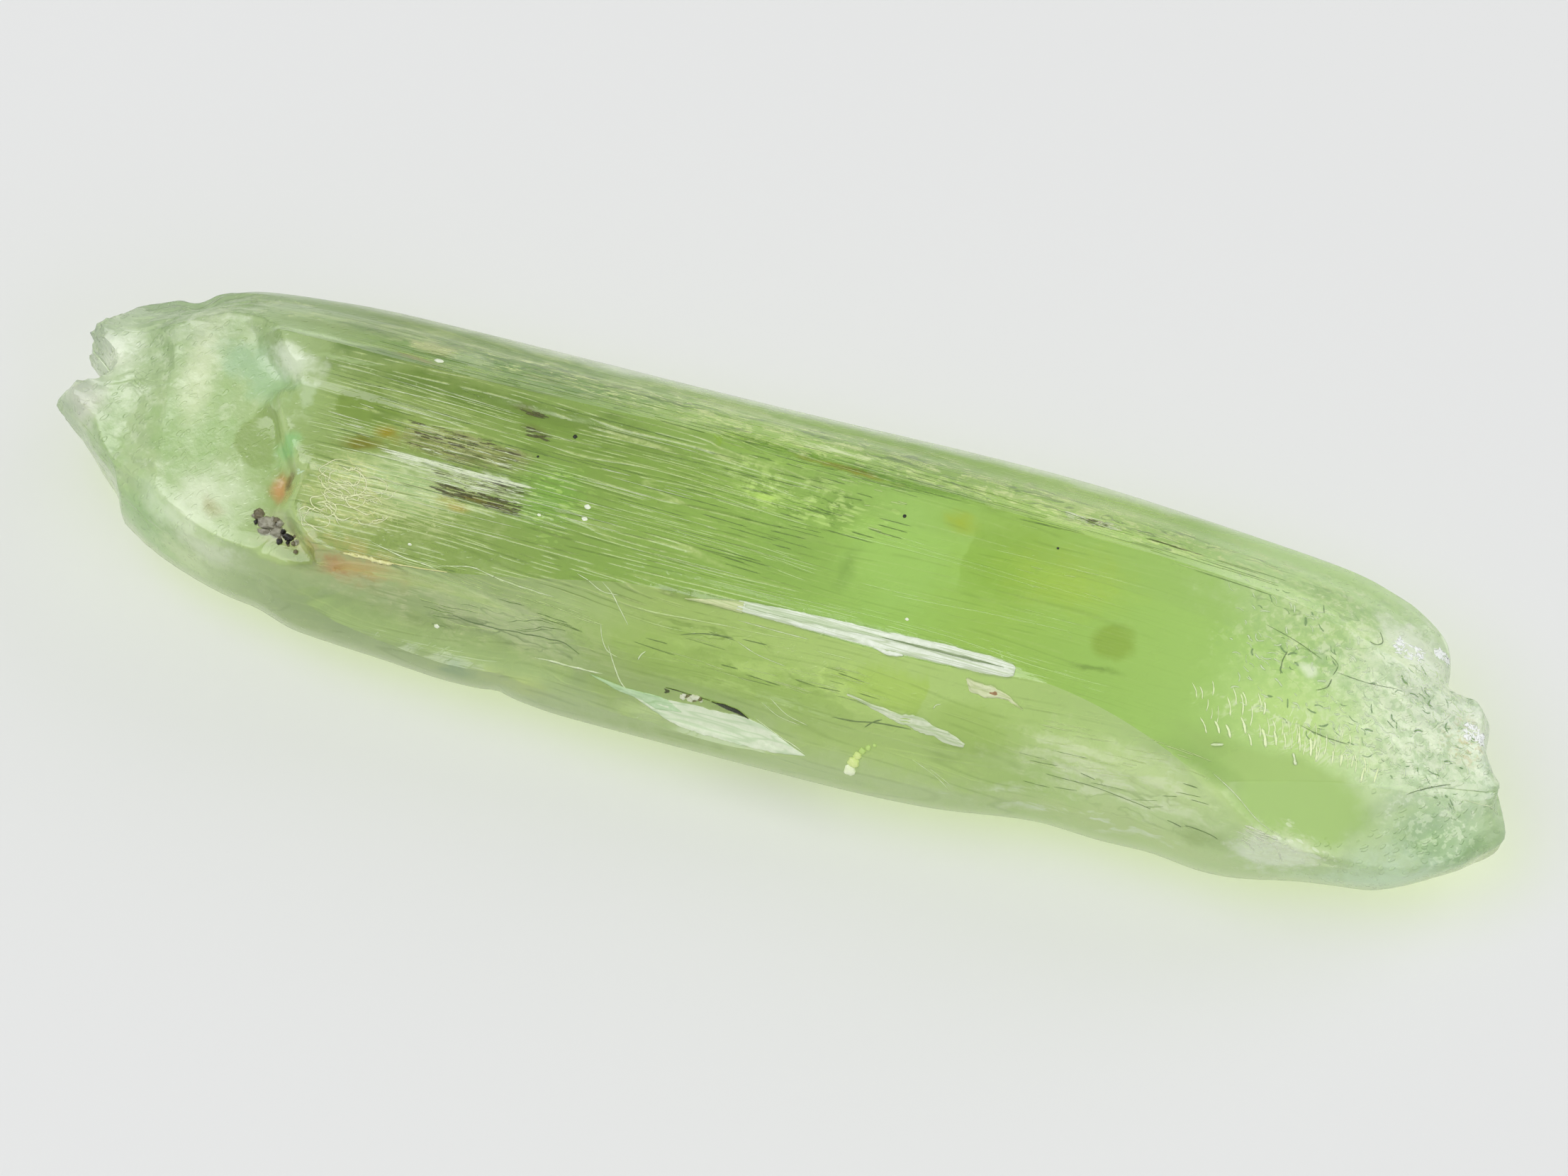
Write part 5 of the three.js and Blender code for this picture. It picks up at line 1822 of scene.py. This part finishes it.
# The lamps: place and size in metres, and power in watts. They all face the crystal.
LAMPS = [
    ("key", (-0.18, -0.10, 0.42), 0.42, 1.10),
    ("fill", (0.35, -0.22, 0.30), 0.40, 0.46),
    ("back", (0.32, 0.34, 0.24), 0.40, 0.72),
]


def camera():
    """The camera: from the near side and above, a little round to the right."""
    a, e = math.radians(VIEW_AZIMUTH), math.radians(VIEW_ELEVATION)
    toward = Vector((math.sin(a) * math.cos(e), -math.cos(a) * math.cos(e), math.sin(e)))
    right = Vector((math.cos(a), math.sin(a), 0))
    up = toward.cross(right)
    target = Vector((0, 0, AXIS_Z)) + VIEW_SHIFT[0] * right + VIEW_SHIFT[1] * up
    lens = bpy.data.cameras.new("camera")
    lens.sensor_width = SENSOR
    lens.lens = SENSOR * VIEW_DISTANCE / VIEW_WIDTH
    lens.clip_start, lens.clip_end = 0.01, 5.0
    eye = bpy.data.objects.new("camera", lens)
    eye.location = (target + VIEW_DISTANCE * toward) * MM
    eye.rotation_mode = "QUATERNION"
    eye.rotation_quaternion = (-toward).to_track_quat("-Z", "Y")
    bpy.context.scene.collection.objects.link(eye)
    bpy.context.scene.camera = eye


def floor():
    """The table under the crystal."""
    half = FLOOR_HALF
    corners = [(-half, -half), (half, -half), (half, half), (-half, half)]
    mesh = bpy.data.meshes.new("floor")
    mesh.from_pydata([(x, y, -FLOOR_DROP) for x, y in corners], [], [(0, 1, 2, 3)])
    mesh.materials.append(plain_floor())
    ground = bpy.data.objects.new("floor", mesh)
    bpy.context.scene.collection.objects.link(ground)


def lights():
    """A pale sky and three round soft lamps."""
    world = bpy.data.worlds.new("studio")
    world.use_nodes = True
    background = world.node_tree.nodes["Background"]
    background.inputs["Color"].default_value = SKY_COLOUR
    background.inputs["Strength"].default_value = SKY_STRENGTH
    bpy.context.scene.world = world
    for name, place, size, power in LAMPS:
        light = bpy.data.lights.new(name, "AREA")
        light.shape = "DISK"
        light.size = size
        light.energy = power
        lamp = bpy.data.objects.new(name, light)
        lamp.location = place
        lamp.rotation_euler = (-Vector(place)).to_track_quat("-Z", "Y").to_euler()
        bpy.context.scene.collection.objects.link(lamp)


# ---------------------------------------------------------------------------------------------
# The crystal in its studio
# ---------------------------------------------------------------------------------------------

camera()
floor()
lights()
bpy.context.scene.view_settings.view_transform = "Standard"

crystal = add_piece("crystal", SKIN_POINTS, SKIN_FACES, hiddenite(), sharp_angle=40)
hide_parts(NODE)
near_crest_streak()
near_shoulder_flake()
near_bevel_flakes()
ledge_grain()
scratches()
fibres()
etched_marks()
specks()
